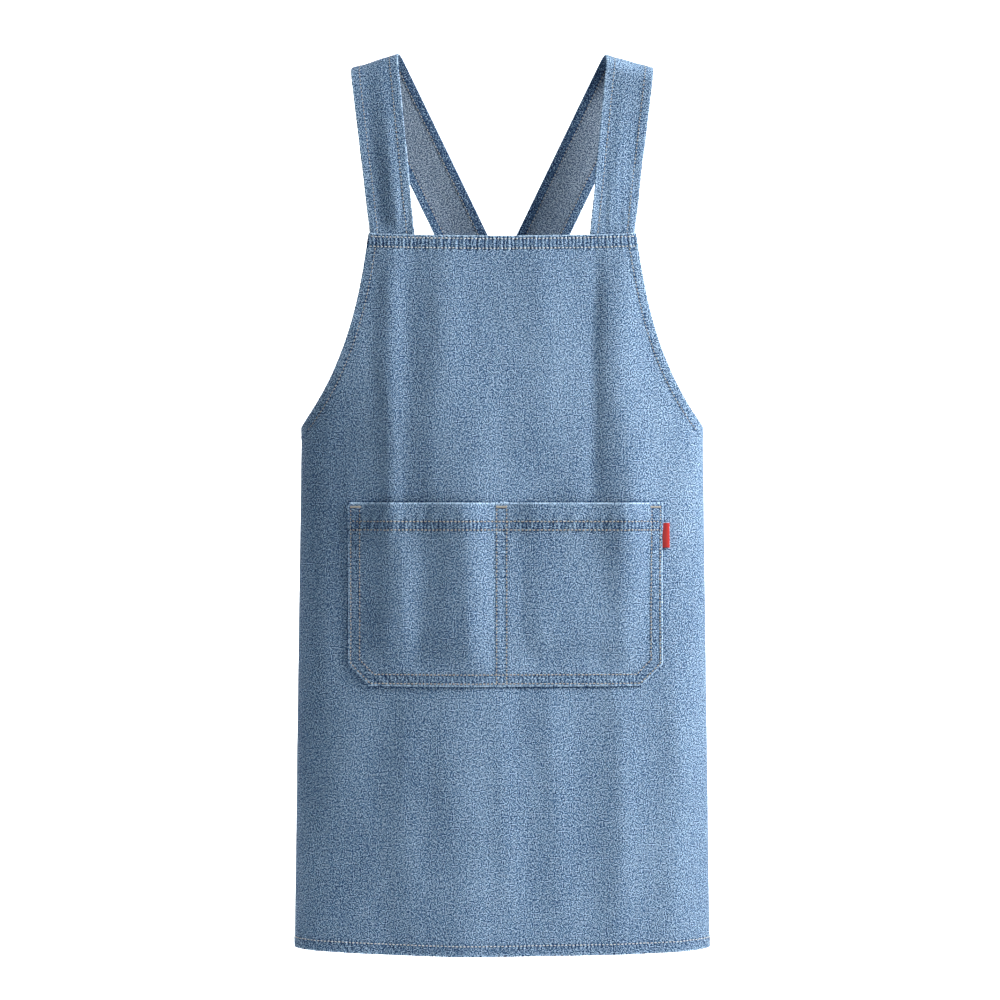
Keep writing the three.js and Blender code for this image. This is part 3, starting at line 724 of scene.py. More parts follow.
def build_front():
    """The front panel with its turned hem and armholes, and ditches where it is stitched."""
    x, z = front_grid()
    middle, like = on_front(x, z, 0)
    below, above, inset = BIB_Z - z, z - hem_z(x), armhole_depth(x, z)
    hem, arm, top = band(above, HEM_BAND), band(inset, EDGE_BAND), band(below, BIB_BAND, (0.6, 0.5))
    ditch = (
        bump(above, HEM_ROW, 0.9) + bump(inset, EDGE_ROW, 0.9)
        + bump(below, BIB_ROWS[0], 0.8) + bump(below, BIB_ROWS[1], 0.9))
    ditch = np.clip(ditch, 0, 1)
    proud, behind, sunk = FRONT_LAYERS
    out = CLOTH + proud * np.maximum(hem, np.maximum(arm, top)) - sunk * ditch
    inn = CLOTH + behind * np.maximum(hem, arm)
    edge = 1.2 * bump(below, 0, 0.9) + 0.5 * bump(above, 0, 1.4) + 0.4 * bump(inset, 0, 1.4)
    wear = front_puckers(x, z)[1] + edge - 0.8 * ditch - 0.2 * hem - 0.12 * top
    # Painted shadow round the pocket's sewn edge and above its mouth.
    wear = wear - 1.2 * pocket_painted_shadow(x, z)
    turned = (above < HEM_BAND) | (inset < EDGE_BAND)
    arm_seam = window(inset, 5.5, 10.5, 1.5) * smooth(z, SIDE_Z - 16, SIDE_Z)
    seam = seam_marks(
        x.shape, (window(below, 1.4, 13.6, 1.2), x), (hem_seam(above), x),
        (0.55 * arm_seam, armhole_run(z)))
    piece = shell("front_cloth", middle, like, out, inn, BOTH, cloth_uv(middle), wear, turned, seam=seam)
    place(piece, "front", "denim", "front_panel", "front_hem_fold",
          "armhole_facing_left", "armhole_facing_right")


def front_stitching():
    """Two rows along the bib's top, one along the hem and one in each armhole."""
    lift = CLOTH + 0.3
    span = np.linspace(-1, 1, 420)
    for name, below in zip(("upper", "lower"), BIB_ROWS):
        z = np.full(span.shape, BIB_Z - below)
        x = span * (armhole_x(z) - 1.5)
        sew(f"bib_stitches_{name}", on_front(x, z, lift), PALE_THREAD, "front",
            f"bib_topstitch_{name}", width=1.15, seed=int(below))
    x = span * (HEM_HALF - 0.5)
    x_table, s_table = arc_table(HEM_Z, -1)
    x = np.sign(span) * np.interp(np.abs(span) * s_table[-1], s_table, x_table)
    sew("hem_stitches_front", on_front(x, hem_z(x) + HEM_ROW, lift), PALE_THREAD, "front",
        "front_hem_topstitch", seed=7)
    for name, side in SIDES:
        last = len(ARMHOLE) - 1
        t = np.linspace(0.012, 0.955, 260) * last
        at = np.stack([np.interp(t, np.arange(last + 1), ARMHOLE[:, k]) for k in range(2)], -1)
        slope = armhole_slope(at[:, 1])
        at = at + unit(np.stack([-np.ones_like(slope), -slope], -1)) * EDGE_ROW
        sew(f"armhole_stitches_{name}", on_front(side * at[:, 0], at[:, 1], lift), BEIGE_THREAD,
            "front", f"armhole_topstitch_{name}", seed=20 + side)


def ribbon(name, centre_x, centre_z, half, cross_x, cross_z, surface, lift, thick, mats):
    """A strip lying on the body: its centre line, half width and the direction across it."""
    a = np.linspace(-1, 1, 7)
    x = centre_x[:, None] + cross_x[:, None] * a * half
    z = centre_z[:, None] + cross_z[:, None] * a * half
    middle, like = surface(x, z, lift)
    wear = np.broadcast_to(0.3 * np.abs(a) ** 4, x.shape)
    uv = np.stack([x, z], -1) / 1000
    return shell(name, middle, like, thick / 2, thick / 2, mats, uv, wear)


def build_bib_facing():
    """The strip behind the bib's top, with the strap ends between it and the bib."""
    x = np.linspace(-BIB_HALF + 1.5, BIB_HALF - 1.5, 150)
    behind = -(CLOTH + 0.5 + STRAP_THICK + 0.9)
    z = np.full(x.shape, BIB_Z - BIB_BAND / 2 - 0.4)
    piece = ribbon("bib_facing_cloth", x, z, BIB_BAND / 2 - 0.5, np.zeros(x.shape), np.ones(x.shape),
                   on_front, behind, 0.9, (WRONG_SIDE, RIGHT_SIDE))
    place(piece, "front", "denim_inside", "bib_facing")


# ---- pocket
POCKET_FOLDS = (
    (-106, -102, -440, -640, 14, 1.8),
    (-76, -78, -440, -640, 20, -3.0),
    (-26, -28, -450, -640, 15, 1.6),
    (28, 26, -455, -640, 16, -0.8),
    (96, 92, -455, -640, 18, -0.8),
    (126, 122, -450, -640, 14, 1.0),
)


def pocket_edge(x, z):
    """Distance in from the pocket's sewn edge."""
    side = np.minimum(x - POCKET_LEFT, POCKET_RIGHT - x)
    corner = (side + (z - POCKET_BOTTOM) - CHAMFER) / math.sqrt(2)
    return np.minimum(np.minimum(side, z - POCKET_BOTTOM), corner)


def pocket_round(x, z):
    """Where a point lies along the pocket's edge: by x at the bottom, by z at the sides."""
    return np.where(pocket_edge(x, z) > z - POCKET_BOTTOM - 0.01, x, z)


def pocket_puckers(x, z):
    """Lift of the pocket's seams' puckers, and the same as a wear value from -1 to 1."""
    below = POCKET_TOP - z
    edge = gather(pocket_round(x, z), pocket_edge(x, z), 11.0, 0.9, 4.0, 9) * smooth(below, 14, 30)
    mouth = pucker(x, below, 12.5, 0.4, 6.0) * window(below, 14, 27, 7)
    divide = pucker(z, x - DIVIDER, 10.0, 0.8, 8.0) * bump(x, DIVIDER, 7) * smooth(below, 4, 30)
    corners = 0.45 + 0.55 * bump(np.abs(x - (POCKET_LEFT + POCKET_RIGHT) / 2), 150, 40) * (
        1 - smooth(z, POCKET_BOTTOM + 20, POCKET_BOTTOM + 50))
    edge = edge * corners
    lift = 0.34 * edge + 0.22 * mouth + 0.18 * divide
    return lift, np.clip(0.4 * edge + 0.3 * mouth + 0.25 * divide, -1, 1)


def pocket_lift(x, z):
    """Lift of the pocket's cloth from the body's plain surface."""
    below = POCKET_TOP - z
    from_seam = np.minimum(pocket_edge(x, z) - SEWN_BAND, np.abs(x - DIVIDER) - SEWN_DIVIDER)
    puff = smooth(from_seam, 0, 34) * smooth(z - POCKET_BOTTOM - SEWN_BAND, 0, 46)
    fullness = 4.0 + 3.2 * (1 - smooth(below, 0, 60))
    own = folds(x, z, POCKET_FOLDS) + 0.5 * crumple(x, z, 51)
    free = smooth(from_seam, -4, 16)
    return front_relief(x, z) + POCKET_SEAT + fullness * puff + own * free + pocket_puckers(x, z)[0]


def pocket_grid():
    """x and z of the pocket's grid: close along its edges and its divider."""
    levels = spaced(POCKET_BOTTOM, 0.9, POCKET_BOTTOM + 14, 2.0, POCKET_TOP - 30, 1.1, POCKET_TOP)
    near = spaced(0, 0.9, 16.2, 1.6, 21)
    beside = np.array([-9, 9]) + DIVIDER
    rows = []
    for z in levels:
        cut = max(0, POCKET_BOTTOM + CHAMFER - z)
        left, right = POCKET_LEFT + cut + near, POCKET_RIGHT - cut - near
        rows.append(np.concatenate([
            left, np.linspace(left[-1], beside[0], 84)[1:-1], np.linspace(*beside, 19),
            np.linspace(beside[1], right[-1], 84)[1:-1], right[::-1]]))
    x = np.array(rows)
    z = np.repeat(levels[:, None], x.shape[1], axis=1)
    return x, z + 1.2 * bump(x, DIVIDER, 5) * smooth(z, POCKET_TOP - 30, POCKET_TOP)


def build_pocket():
    """The pocket with its wide folded mouth and the edge that is turned in and sewn."""
    x, z = pocket_grid()
    middle, like = body(x, z, -1, pocket_lift(x, z))
    inset, below = pocket_edge(x, z), POCKET_TOP - z
    mouth, hem = band(below, MOUTH_BAND, (0.6, 0.5)), band(inset, SEWN_BAND, (0.6, 0.5))
    ditch = np.maximum(
        bump(below, MOUTH_ROWS[0], 0.9) + bump(below, MOUTH_ROWS[1], 0.9),
        bump(inset, SIDE_ROWS[0] + 0.6, 0.7) + bump(inset, SIDE_ROWS[1], 0.9))
    split = bump(np.abs(x - DIVIDER), DIVIDER_ROW, 0.9) * smooth(below, 2, 10)
    ditch = np.clip(np.maximum(ditch, split), 0, 1)
    from_side = np.minimum(x - POCKET_LEFT, POCKET_RIGHT - x)
    tack = window(from_side, -1, 14, 0.8) * window(below, -1, 27, 1.2)
    rim = 1 - smooth(inset, 0.8, 2)
    proud, behind, sunk = POCKET_LAYERS
    out = CLOTH + proud * np.maximum(mouth, hem) + 0.5 * tack + 0.4 * rim - sunk * ditch
    inn = CLOTH + behind * mouth + 0.5 * (1 - smooth(inset, 2, 4)) * (1 - mouth)
    edge = (1.3 * bump(below, 0, 0.8) + 1.1 * bump(inset, 0, 0.7)
            + 0.9 * bump(from_side, 14.6, 0.8) * window(below, -1, 24, 2))
    wear = (pocket_puckers(x, z)[1] + edge - 0.75 * ditch
            - 0.2 * window(below, *MOUTH_ROWS, 1) - 0.15 * tack - 0.05 * hem)
    low = 1 - smooth(z, POCKET_BOTTOM + 12, POCKET_BOTTOM + 45)
    edge_seam = (0.3 + 0.4 * low) * window(inset, 0.8, 11.8, 1.2) * smooth(below, 2, 8)
    beside = 1 - smooth(np.abs(x - DIVIDER), DIVIDER_ROW + 0.6, DIVIDER_ROW + 1.8)
    seam = seam_marks(
        x.shape, (0.7 * window(below, MOUTH_ROWS[0] - 1, MOUTH_ROWS[1] + 1, 1.2), x),
        (edge_seam, pocket_round(x, z)), (0.45 * beside, z), (0.5 * tack, 0.9 * x + 1.6 * z))
    turned = (below < MOUTH_BAND) | (inset < SEWN_BAND)
    piece = shell("pocket_cloth", middle, like, out, inn, BOTH, cloth_uv(middle) + 0.173, wear, turned,
                  seam=seam)
    place(piece, "front", "denim", "pocket_panel")


def pocket_path(plan, lift):
    """Points and normals on the pocket's cloth along straight lines from corner to corner."""
    xs, zs, step = [], [], 1.5
    for (x0, z0), (x1, z1) in zip(plan[:-1], plan[1:]):
        count = max(2, int(math.hypot(x1 - x0, z1 - z0) / step))
        t = np.arange(count) / count
        xs.append(lerp(x0, x1, t))
        zs.append(lerp(z0, z1, t))
    x = np.concatenate(xs + [[plan[-1][0]]])
    z = np.concatenate(zs + [[plan[-1][1]]])
    return body(x, z, -1, pocket_lift(x, z) + lift)


def pocket_outline(inset, top):
    """The corners of a row of stitches round the pocket's sewn edge."""
    cut = CHAMFER - inset * (2 - math.sqrt(2))
    x0, x1, z0 = POCKET_LEFT + inset, POCKET_RIGHT - inset, POCKET_BOTTOM + inset
    return [(x0, top), (x0, z0 + cut), (x0 + cut, z0), (x1 - cut, z0), (x1, z0 + cut), (x1, top)]


def pocket_stitching():
    """Two rows along the mouth, round the edge and down the divider, and three tacks."""
    lift = CLOTH + 0.55

    def row(name, node, plan, above=lift, **sizes):
        sew(name, pocket_path(plan, above), TAN_THREAD, "front", node, **sizes)

    for name, below in zip(("upper", "lower"), MOUTH_ROWS):
        z = POCKET_TOP - below
        row(f"pocket_mouth_stitches_{name}", f"pocket_mouth_topstitch_{name}",
            [(POCKET_LEFT + 3, z), (POCKET_RIGHT - 3, z)], width=1.2, seed=int(below))
    for name, inset in zip(("outer", "inner"), SIDE_ROWS):
        row(f"pocket_edge_stitches_{name}", f"pocket_edge_topstitch_{name}",
            pocket_outline(inset + 0.4, POCKET_TOP - 2), seed=int(inset))
    for name, side in SIDES:
        x = DIVIDER + side * DIVIDER_ROW
        row(f"pocket_divider_stitches_{name}", f"pocket_divider_topstitch_{name}",
            [(x, POCKET_TOP - 1), (x, POCKET_BOTTOM + 2)], seed=40 + side)
    for name, x in (("left", POCKET_LEFT + 7), ("centre", DIVIDER), ("right", POCKET_RIGHT - 7)):
        z = POCKET_TOP - 3.5
        row(f"pocket_tack_{name}", f"pocket_bartack_{name}", [(x - 5.5, z), (x + 5.5, z)],
            lift + 0.15, pitch=0.62, length=2.4, width=0.7, seed=60, slant=1.45)


def build_label():
    """A folded tape: two leaves that part a little at the seam and meet in a round fold.

    fold is the fold's radius, seat half the gap at the seam, and proud how far the tape's middle
    stands off the body.
    """
    low, high = LABEL_LOW, LABEL_HIGH
    fold, seat, half_tape, leaf, proud = 1.0, 0.7, 0.22, 8, 2.1
    reach = high[0] - low[0] + 0.6
    straight = reach - fold
    turn = np.linspace(-QUARTER, QUARTER, 25)[1:-1]
    along = np.concatenate([np.linspace(0, straight, leaf), straight + fold * np.cos(turn),
                            np.linspace(straight, 0, leaf)])
    depth = np.concatenate([np.linspace(-seat, -fold, leaf), fold * np.sin(turn),
                            np.linspace(fold, seat, leaf)])
    heights = np.linspace(low[2], high[2], 34)
    normal = body((low[0] + high[0]) / 2, heights[0], -1)[1]
    tangent = unit(np.cross(normal, [0, 0, -1.0]))
    start_x = low[0] - 0.4
    start = np.array([start_x, body(start_x, heights[0], -1)[0][1], 0])
    line = start + tangent * along[:, None] + normal * (proud - depth)[:, None]
    middle = np.repeat(line[None], len(heights), axis=0)
    middle[..., 2] = heights[:, None]
    wave = 0.25 * np.sin(heights / 5.0)[:, None] * (along / reach)[None]
    middle = middle + normal * wave[..., None]
    rows, columns = middle.shape[:2]
    count = rows * columns
    facing = unit(np.cross(np.gradient(middle, axis=1), np.gradient(middle, axis=0))) * half_tape
    loop = rim_loop(rows, columns)
    rim = np.stack([loop, loop + count, np.roll(loop + count, -1), np.roll(loop, -1)], -1)
    faces = np.concatenate([grid_faces(rows, columns), grid_faces(rows, columns, count, True), rim])
    tape = np.broadcast_to(np.arange(columns) * 0.6, (rows, columns))
    uv = np.stack([tape, middle[..., 2]], -1).reshape(-1, 2) / 1000
    # lit marks the tape's painted highlight, towards its fold.
    lit = np.tile(smooth(along, 0.35 * reach, 0.95 * reach), 2 * rows)
    verts = np.concatenate([(middle + facing).reshape(-1, 3), (middle - facing).reshape(-1, 3)])
    piece = make_mesh("label_tape", verts, faces, [RED_TAPE], uv=np.concatenate([uv, uv]), wear=lit)
    place(piece, "label", "label", "pocket_label")


# ---- straps
SIN, COS = math.sin(SHOULDER_SLOPE), math.cos(SHOULDER_SLOPE)
ALONG, OFF = np.array([COS, 0, -SIN]), np.array([SIN, 0, COS])
DRIFT = math.tan(STRAP_SKEW)
FOLD_RADIUS = FOLD_BEND + STRAP_THICK / 2
FOLD_AXIS = np.array([SHOULDER_X, 0, 0]) - OFF * FOLD_BEND


def fold_point(turn, across):
    """Points and normals on the strap's fold over the shoulder; across runs from -1 to 1."""
    past = FOLD_RADIUS * turn
    half = (STRAP_WIDTH + STRAP_TAPER * np.minimum(past, 0)) / 2 / math.cos(STRAP_SKEW)
    out = np.sin(turn)[..., None] * np.array([0, 1.0, 0]) + np.cos(turn)[..., None] * OFF
    reach = across * half - DRIFT * past
    return FOLD_AXIS + out * FOLD_RADIUS + ALONG * reach[..., None], out


def strap_edge_x(across, z, end):
    """x down the strap's straight run from its fold; end is -1 in front and 1 behind."""
    start = fold_point(np.full(np.shape(across), end * QUARTER), across)[0]
    spread = -across * STRAP_TAPER / 2 if end < 0 else 0 * across
    run_x = -OFF[0] + ALONG[0] * (spread - end * DRIFT)
    run_z = -OFF[2] + ALONG[2] * (spread - end * DRIFT)
    return start[..., 0] + run_x * (z - start[..., 2]) / run_z


def strap_y(x, z, end, crossing, side):
    """Depth of the straight run: from the fold to just inside the panel it is sewn to."""
    hold_z = BIB_Z if end < 0 else BACK_TOP_Z
    at_z = np.minimum(z, hold_z)
    if end < 0:
        lift = front_relief(side * x, at_z) - (CLOTH + 0.35 + STRAP_THICK / 2)
    else:
        lift = back_relief(-side * x, at_z, -side) - (CLOTH + 0.7 + STRAP_THICK / 2)
    panel = body(x, at_z, end, lift)[0][..., 1]
    top = -FOLD_RADIUS * COS
    share = smooth((z - top) / (hold_z - top))
    bow = crossing * (1 - smooth(np.abs(z - CROSSING_Z), CROSSING_HALF, CROSSING_HALF + 40))
    return lerp(end * FOLD_RADIUS, panel, share) + bow


def strap_ripples(across, v, side):
    """Soft lengthwise channels, strongest on the front just above the bib."""
    near_bib = bump(v, 0.06, 0.17)
    if side < 0:
        tuck = (1.9 * bump(across, -0.28, 0.3) - 1.9 * bump(across, 0.48, 0.3)) * near_bib
    else:
        tuck = (0.9 * bump(across, -0.1, 0.3) - 0.8 * bump(across, -0.6, 0.25)) * near_bib
    cup = -1.6 * across * bump(v, 0.12, 0.12)
    soft = 0.4 * ripple_field(across * STRAP_HALF, v * 500, 71 + side, 16, 90)
    hang = 0.7 * np.sin(across * 3.0 + 1.0) * bump(v, 0.62, 0.16)
    return tuck + cup + soft + hang


def strap_grid(side):
    """The right-hand strap's points and normals, its columns from -1 to 1 and its run in mm."""
    near = spaced(0, 0.9, 9.9) / STRAP_HALF
    columns = np.concatenate([
        near - 1, np.linspace(near[-1] - 1, 1 - near[-1], 16)[1:-1], (1 - near)[::-1]])
    front_rows, fold_rows, back_rows = 74, 26, 184
    zeros = np.zeros(columns.shape)
    points, normals = [], []

    def straight_run(end, share):
        top = fold_point(zeros + end * QUARTER, columns)[0][..., 2]
        if end < 0:
            z = lerp(BIB_Z - STRAP_TUCK, top, share)
        else:
            z = lerp(top, BACK_TOP_Z - STRAP_LAP, share)
        x = strap_edge_x(columns, z, end)
        crossing = 0 if end < 0 else -side * CROSSING_LIFT
        points.append(np.stack([x, strap_y(x, z, end, crossing, side), z], -1))
        normals.append(np.broadcast_to([0, float(end), 0], points[-1].shape))

    for i in range(front_rows):
        straight_run(-1, i / front_rows)
    for i in range(fold_rows + 1):
        point, out = fold_point(zeros + lerp(-QUARTER, QUARTER, i / fold_rows), columns)
        points.append(point)
        normals.append(out)
    for i in range(1, back_rows + 1):
        straight_run(1, i / back_rows)
    middle = np.array(points)
    step = np.linalg.norm(np.diff(middle[:, len(columns) // 2], axis=0), axis=1)
    return middle, np.array(normals), columns, np.concatenate([[0], np.cumsum(step)])


def build_strap(name, side):
    """side is -1 for the left strap. Rows run from the bib over the shoulder to the back panel."""
    middle, like, columns, length = strap_grid(side)
    across, run = np.broadcast_arrays(columns[None], length[:, None])
    end = length[-1]
    inset = (1 - np.abs(across)) * STRAP_HALF
    held = smooth(run, STRAP_TUCK, STRAP_TUCK + 20) * (1 - smooth(run, end - 70, end - 30))
    edges = pucker(run, inset, 12.5, 0.7, 9.0 + side) * (1 - smooth(inset, 8, 15))
    relief = (strap_ripples(across, run / end, side) + 0.1 * edges) * held
    middle = middle + grid_normals(middle, like) * relief[..., None]
    hem, ditch = band(inset, STRAP_ROW, (-0.2, 1.2)), bump(inset, STRAP_ROW, 0.8)
    out = CLOTH + 0.2 * hem - 0.22 * ditch
    inn = CLOTH + 0.15 + 0.35 * hem - 0.2 * ditch
    # Painted shadow on the strap just above where it tucks behind the bib.
    shadow = bump(run, STRAP_TUCK + 1.5, 2.2)
    wear = 0.14 * edges - 0.4 * ditch + 0.7 * bump(inset, 0, 1.1) - 0.9 * shadow
    neck = (across < 0) * hem
    inner_wear = 0.1 * edges - 0.7 * ditch - 0.9 * neck - 0.5 * (hem - neck)
    seam = (0.5 * window(inset, 6.5, 9.5, 1.2), run)
    if side < 0:
        middle, like = middle * [-1, 1, 1], like * [-1, 1, 1]
    uv = np.stack([across * STRAP_HALF, run], -1) / 1000 + side * 0.6
    piece = shell(f"strap_cloth_{name}", middle, like, out, inn, BOTH, uv, wear, inset < 8.6, seam=seam,
                  inner_wear=inner_wear)
    place(piece, strap_bend(side), "denim", f"strap_{name}")
    strap_stitching(name, side, middle, grid_normals(middle, like), columns)


def strap_bend(side):
    """The front body, the opposite back panel's body, and two points from the strap's crossing down to
    that panel's top.
    """
    other = "back_right" if side < 0 else "back_left"
    depth = 0.0172
    start = (0, depth, (CROSSING_Z - CROSSING_HALF - 2) / 1000)
    return ("front", other, start, (0, depth, (BACK_TOP_Z + 3) / 1000))


def strap_stitching(name, side, middle, normal, columns):
    """A row along each edge, on the strap's face and on its underside."""
    shown = slice(6, len(middle) - 14)
    for edge, sign in (("neck", -1), ("arm", 1)):
        column = np.argmin(np.abs(columns - sign * (1 - STRAP_ROW / STRAP_HALF)))
        line, out = middle[shown, column], normal[shown, column]
        for face, facing, lift in (("", 1, CLOTH + 0.12), ("_under", -1, CLOTH + 0.4)):
            nodes = [f"strap_{name}_topstitch_{edge}"] if facing > 0 else []
            sew(f"strap_stitches_{name}_{edge}{face}", (line + out * facing * lift, out * facing),
                BEIGE_THREAD, strap_bend(side), *nodes, seed=80 + side + sign + 5 * facing)


# ---- back panels
def back_top_z(x):
    """The top line of the back panels."""
    return np.interp(np.abs(x), BACK_TOP[:, 0], BACK_TOP[:, 1])


def seam_bend(side):
    """The front body, the back panel's body, and two points from the side seam over the panel's first
    stretch.
    """
    name, stretch = "back_left" if side < 0 else "back_right", 34
    middle_z = (HEM_Z + SIDE_Z) / 2000
    seam = (side * (HEM_HALF + 0.6) / 1000, 0.003, middle_z)
    return ("front", name, seam, (side * (HEM_HALF - stretch) / 1000, 0.010, middle_z))


def back_grid():
    """x and z of a back panel's grid, the run across each row, and its top line's slope."""
    x_table, s_table = arc_table(HEM_Z, 1)
    s0 = np.interp(BACK_OPENING, x_table, s_table)
    run = spaced(s0, 0.9, s0 + 10.8, 3.0, s_table[-1] - 1.5, 1.5, s_table[-1])
    x_hem = np.interp(run, s_table, x_table)
    widen = lambda half: BACK_OPENING + (x_hem - BACK_OPENING) * (half - BACK_OPENING) / (
        HEM_HALF - BACK_OPENING)
    x_top = widen(SIDE_HALF)
    bottom, top = hem_z(x_hem), back_top_z(x_top)
    low, high = spaced(0, 1.1, 16), spaced(0, 1.0, 13)
    rows = [bottom + d for d in low]
    rows += [lerp(bottom + low[-1], top - high[-1], t) for t in np.linspace(0, 1, 150)[1:-1]]
    rows += [top - d for d in high[::-1]]
    z = np.array(rows)
    half = section(z)[0]
    return np.minimum(widen(half), half), z, run - s0, np.gradient(top, x_top)


def build_back(name, side):
    """A back panel with its hem, its opening's edge and its top turned in."""
    x, z, run, slope = back_grid()
    middle, like = back_path(x, z, side, 0)
    middle[..., 1] += 0.3 * (1 - smooth(x / section(z)[0], 0.98, 1.0))
    above, below, inner = z - hem_z(x), (back_top_z(x) - z) / np.sqrt(1 + slope**2), x - BACK_OPENING
    ditch = np.clip(
        bump(above, HEM_ROW, 0.9) + bump(below, EDGE_ROW, 0.9) + bump(inner, EDGE_ROW, 0.9), 0, 1)
    hem = np.maximum(band(above, HEM_BAND), np.maximum(band(below, EDGE_BAND), band(inner, EDGE_BAND)))
    proud, behind, sunk = BACK_LAYERS
    out, inn = CLOTH + proud * hem - sunk * ditch, CLOTH + behind * hem
    ripples = (gather(x, above, 8.4, 0.75, 5.0 + side, 9) + gather(x, below, 10.5, 0.5, 6.0, 7, 5)
               + gather(z, inner, 10.5, 0.5, 7.0, 7, 5))
    worn = 0.5 * bump(above, 0, 1.4) + 0.5 * bump(below, 0, 1.5) + 0.5 * bump(inner, 0, 1.5)
    wear = 0.25 * np.clip(ripples, -1, 1) + worn - 0.7 * ditch
    edge_seam = lambda depth: 0.5 * window(depth, 6.0, 10.5, 1.5)
    seam = seam_marks(x.shape, (hem_seam(above), x), (edge_seam(below), x), (edge_seam(inner), z))
    turned = (above < HEM_BAND) | (below < EDGE_BAND) | (inner < EDGE_BAND)
    uv = np.stack([np.broadcast_to(side * run, x.shape), z], -1) / 1000 + 0.29
    piece = shell(f"back_cloth_{name}", middle, like, out, inn, BOTH, uv, wear, turned, seam=seam)
    place(piece, seam_bend(side), "denim", f"back_panel_{name}", f"back_edge_fold_{name}",
          f"back_top_facing_{name}", f"back_hem_fold_{name}")


def back_path(x, z, side, lift):
    """Points and normals on a back panel's cloth, lift out from its middle."""
    return body(side * x, z, 1, back_relief(side * x, z, side) + lift)


def back_stitching(name, side):
    """A row inside each free edge of a back panel, and the strap's box."""
    lift = CLOTH + 0.45
    x_table, s_table = arc_table(HEM_Z, 1)
    s = np.linspace(np.interp(BACK_OPENING + 0.5, x_table, s_table), s_table[-1] - 0.5, 240)
    x = np.interp(s, s_table, x_table)
    rows = [
        ("hem_stitches_back", x, hem_z(x) + HEM_ROW, PALE_THREAD, "back_hem_topstitch"),
        ("back_edge_stitches", np.full(300, BACK_OPENING + EDGE_ROW),
         np.linspace(HEM_Z + 1, BACK_TOP_Z - 1, 300), BEIGE_THREAD, "back_edge_topstitch"),
    ]
    slope = np.gradient(BACK_TOP[:, 1], BACK_TOP[:, 0])
    normal = unit(np.stack([slope, -np.ones_like(slope)], -1))
    inset = (BACK_TOP + normal * EDGE_ROW)[4:-6]
    rows.append(("back_top_stitches", inset[:, 0], inset[:, 1], BEIGE_THREAD, "back_top_topstitch"))
    for label, px, pz, material, node in rows:
        sew(f"{label}_{name}", back_path(px, pz, side, lift), material, seam_bend(side),
            f"{node}_{name}", seed=90 + side)
    box_stitching("right" if side < 0 else "left", side, lift)


def box_stitching(other, side, lift):
    """The crossed box that sews the other side's strap to this back panel."""
    top, bottom = BACK_TOP_Z - 10, BACK_TOP_Z - STRAP_LAP + 3
    corners = [(-0.8, top), (0.8, top), (0.8, bottom), (-0.8, bottom), (-0.8, top),
               (0.8, bottom), (0.8, top), (-0.8, bottom)]
    xs, zs = [], []
    for (a0, z0), (a1, z1) in zip(corners[:-1], corners[1:]):
        t = np.linspace(0, 1, 40)
        z = lerp(z0, z1, t)
        xs.append(-strap_edge_x(lerp(a0, a1, t), z, 1))
        zs.append(z)
    path = back_path(np.concatenate(xs), np.concatenate(zs), side, lift)
    sew(f"strap_box_stitches_{other}", path, BEIGE_THREAD, seam_bend(side),
        f"strap_{other}_box_stitch", seed=95 + side)


def build_side_seam(name, side):
    """The joined edges of front and back, overcast and pressed to the back, inside the apron."""
    z = np.linspace(SIDE_Z - 16, HEM_Z + HEM_BAND + 5, 190)
    centre = section(z)[0] - 6.0
    surface = lambda x, z, lift: back_path(side * x, z, side, lift)
    piece = ribbon(f"side_seam_cloth_{name}", side * centre, z, 3.6, np.full(z.shape, side), 0 * z,
                   surface, -(CLOTH + 1.0), 1.0, (RIGHT_SIDE, WRONG_SIDE))
    place(piece, seam_bend(side), "denim_inside", f"side_seam_{name}")
    x = side * (centre - 2.6)
    path = surface(x, z, -(CLOTH + 1.75))
    sew(f"side_seam_overcast_{name}", (path[0], -path[1]), PALE_THREAD, seam_bend(side),
        pitch=2.2, length=3.6, width=0.6, seed=97 + side, slant=1.1)


# ---- the whole apron
build_front()
front_stitching()
build_bib_facing()
build_pocket()
pocket_stitching()
build_label()
for side_name, side_sign in SIDES:
    build_strap(side_name, side_sign)
    build_back(side_name, side_sign)
    back_stitching(side_name, side_sign)
    build_side_seam(side_name, side_sign)

# ---- stage, light and camera
# These sizes are in metres.
FLOOR_Z, WALL_Y, SWEEP, STAGE_HALF, WALL_TOP = -1.06, 2.6, 1.2, 6.0, 4.5
CAMERA_PLACE, LENS, SENSOR = (-0.0022, -3.056, -0.446), 108.0, 36.0   # lens and sensor in mm
# Colours and strengths of the paper's glow, of the fill light and of the room past the paper.
PALE, FILL, ROOM = (0.80, 0.81, 0.82, 1), (0.78, 0.91, 1.0, 1), (0.85, 0.86, 0.87, 1)
GLOW, FILL_POWER, ROOM_POWER = 0.45, 0.15, 1.0
# Each lamp: its place, what it faces, its size, watts, spread in degrees and colour.
LAMPS = {
    "key": ((1.9, -0.78, 0.6), (0, 0, -0.45), (0.67, 0.95), 21, 80, (1, 0.98, 0.95)),
    "wash_left": ((-1.3, 1.0, 1.9), (-0.78, WALL_Y, -0.6), (2.2, 0.6), 62, 110, (1, 1, 1)),
    "wash_right": ((1.3, 1.0, 1.9), (0.78, WALL_Y, -0.6), (2.2, 0.6), 62, 110, (1, 1, 1)),
    "overhead": ((0, -0.9, 3.2), (0, -0.9, -1), (4.0, 3.0), 55, 180, (0.92, 0.97, 1)),
}


def build_stage():
    """A floor that sweeps up into a wall."""
    angle = np.linspace(0, QUARTER, 18)
    profile = [(-STAGE_HALF, FLOOR_Z)] + [
        (WALL_Y - SWEEP + SWEEP * math.sin(a), FLOOR_Z + SWEEP - SWEEP * math.cos(a)) for a in angle]
    profile.append((WALL_Y, WALL_TOP))
    verts = [(x * 1000, y * 1000, z * 1000) for x in (-STAGE_HALF, STAGE_HALF) for y, z in profile]
    count = len(profile)
    faces = [[k, k + 1, count + k + 1, count + k][::-1] for k in range(count - 1)]
    make_mesh("backdrop", verts, faces, [backdrop_paper()])


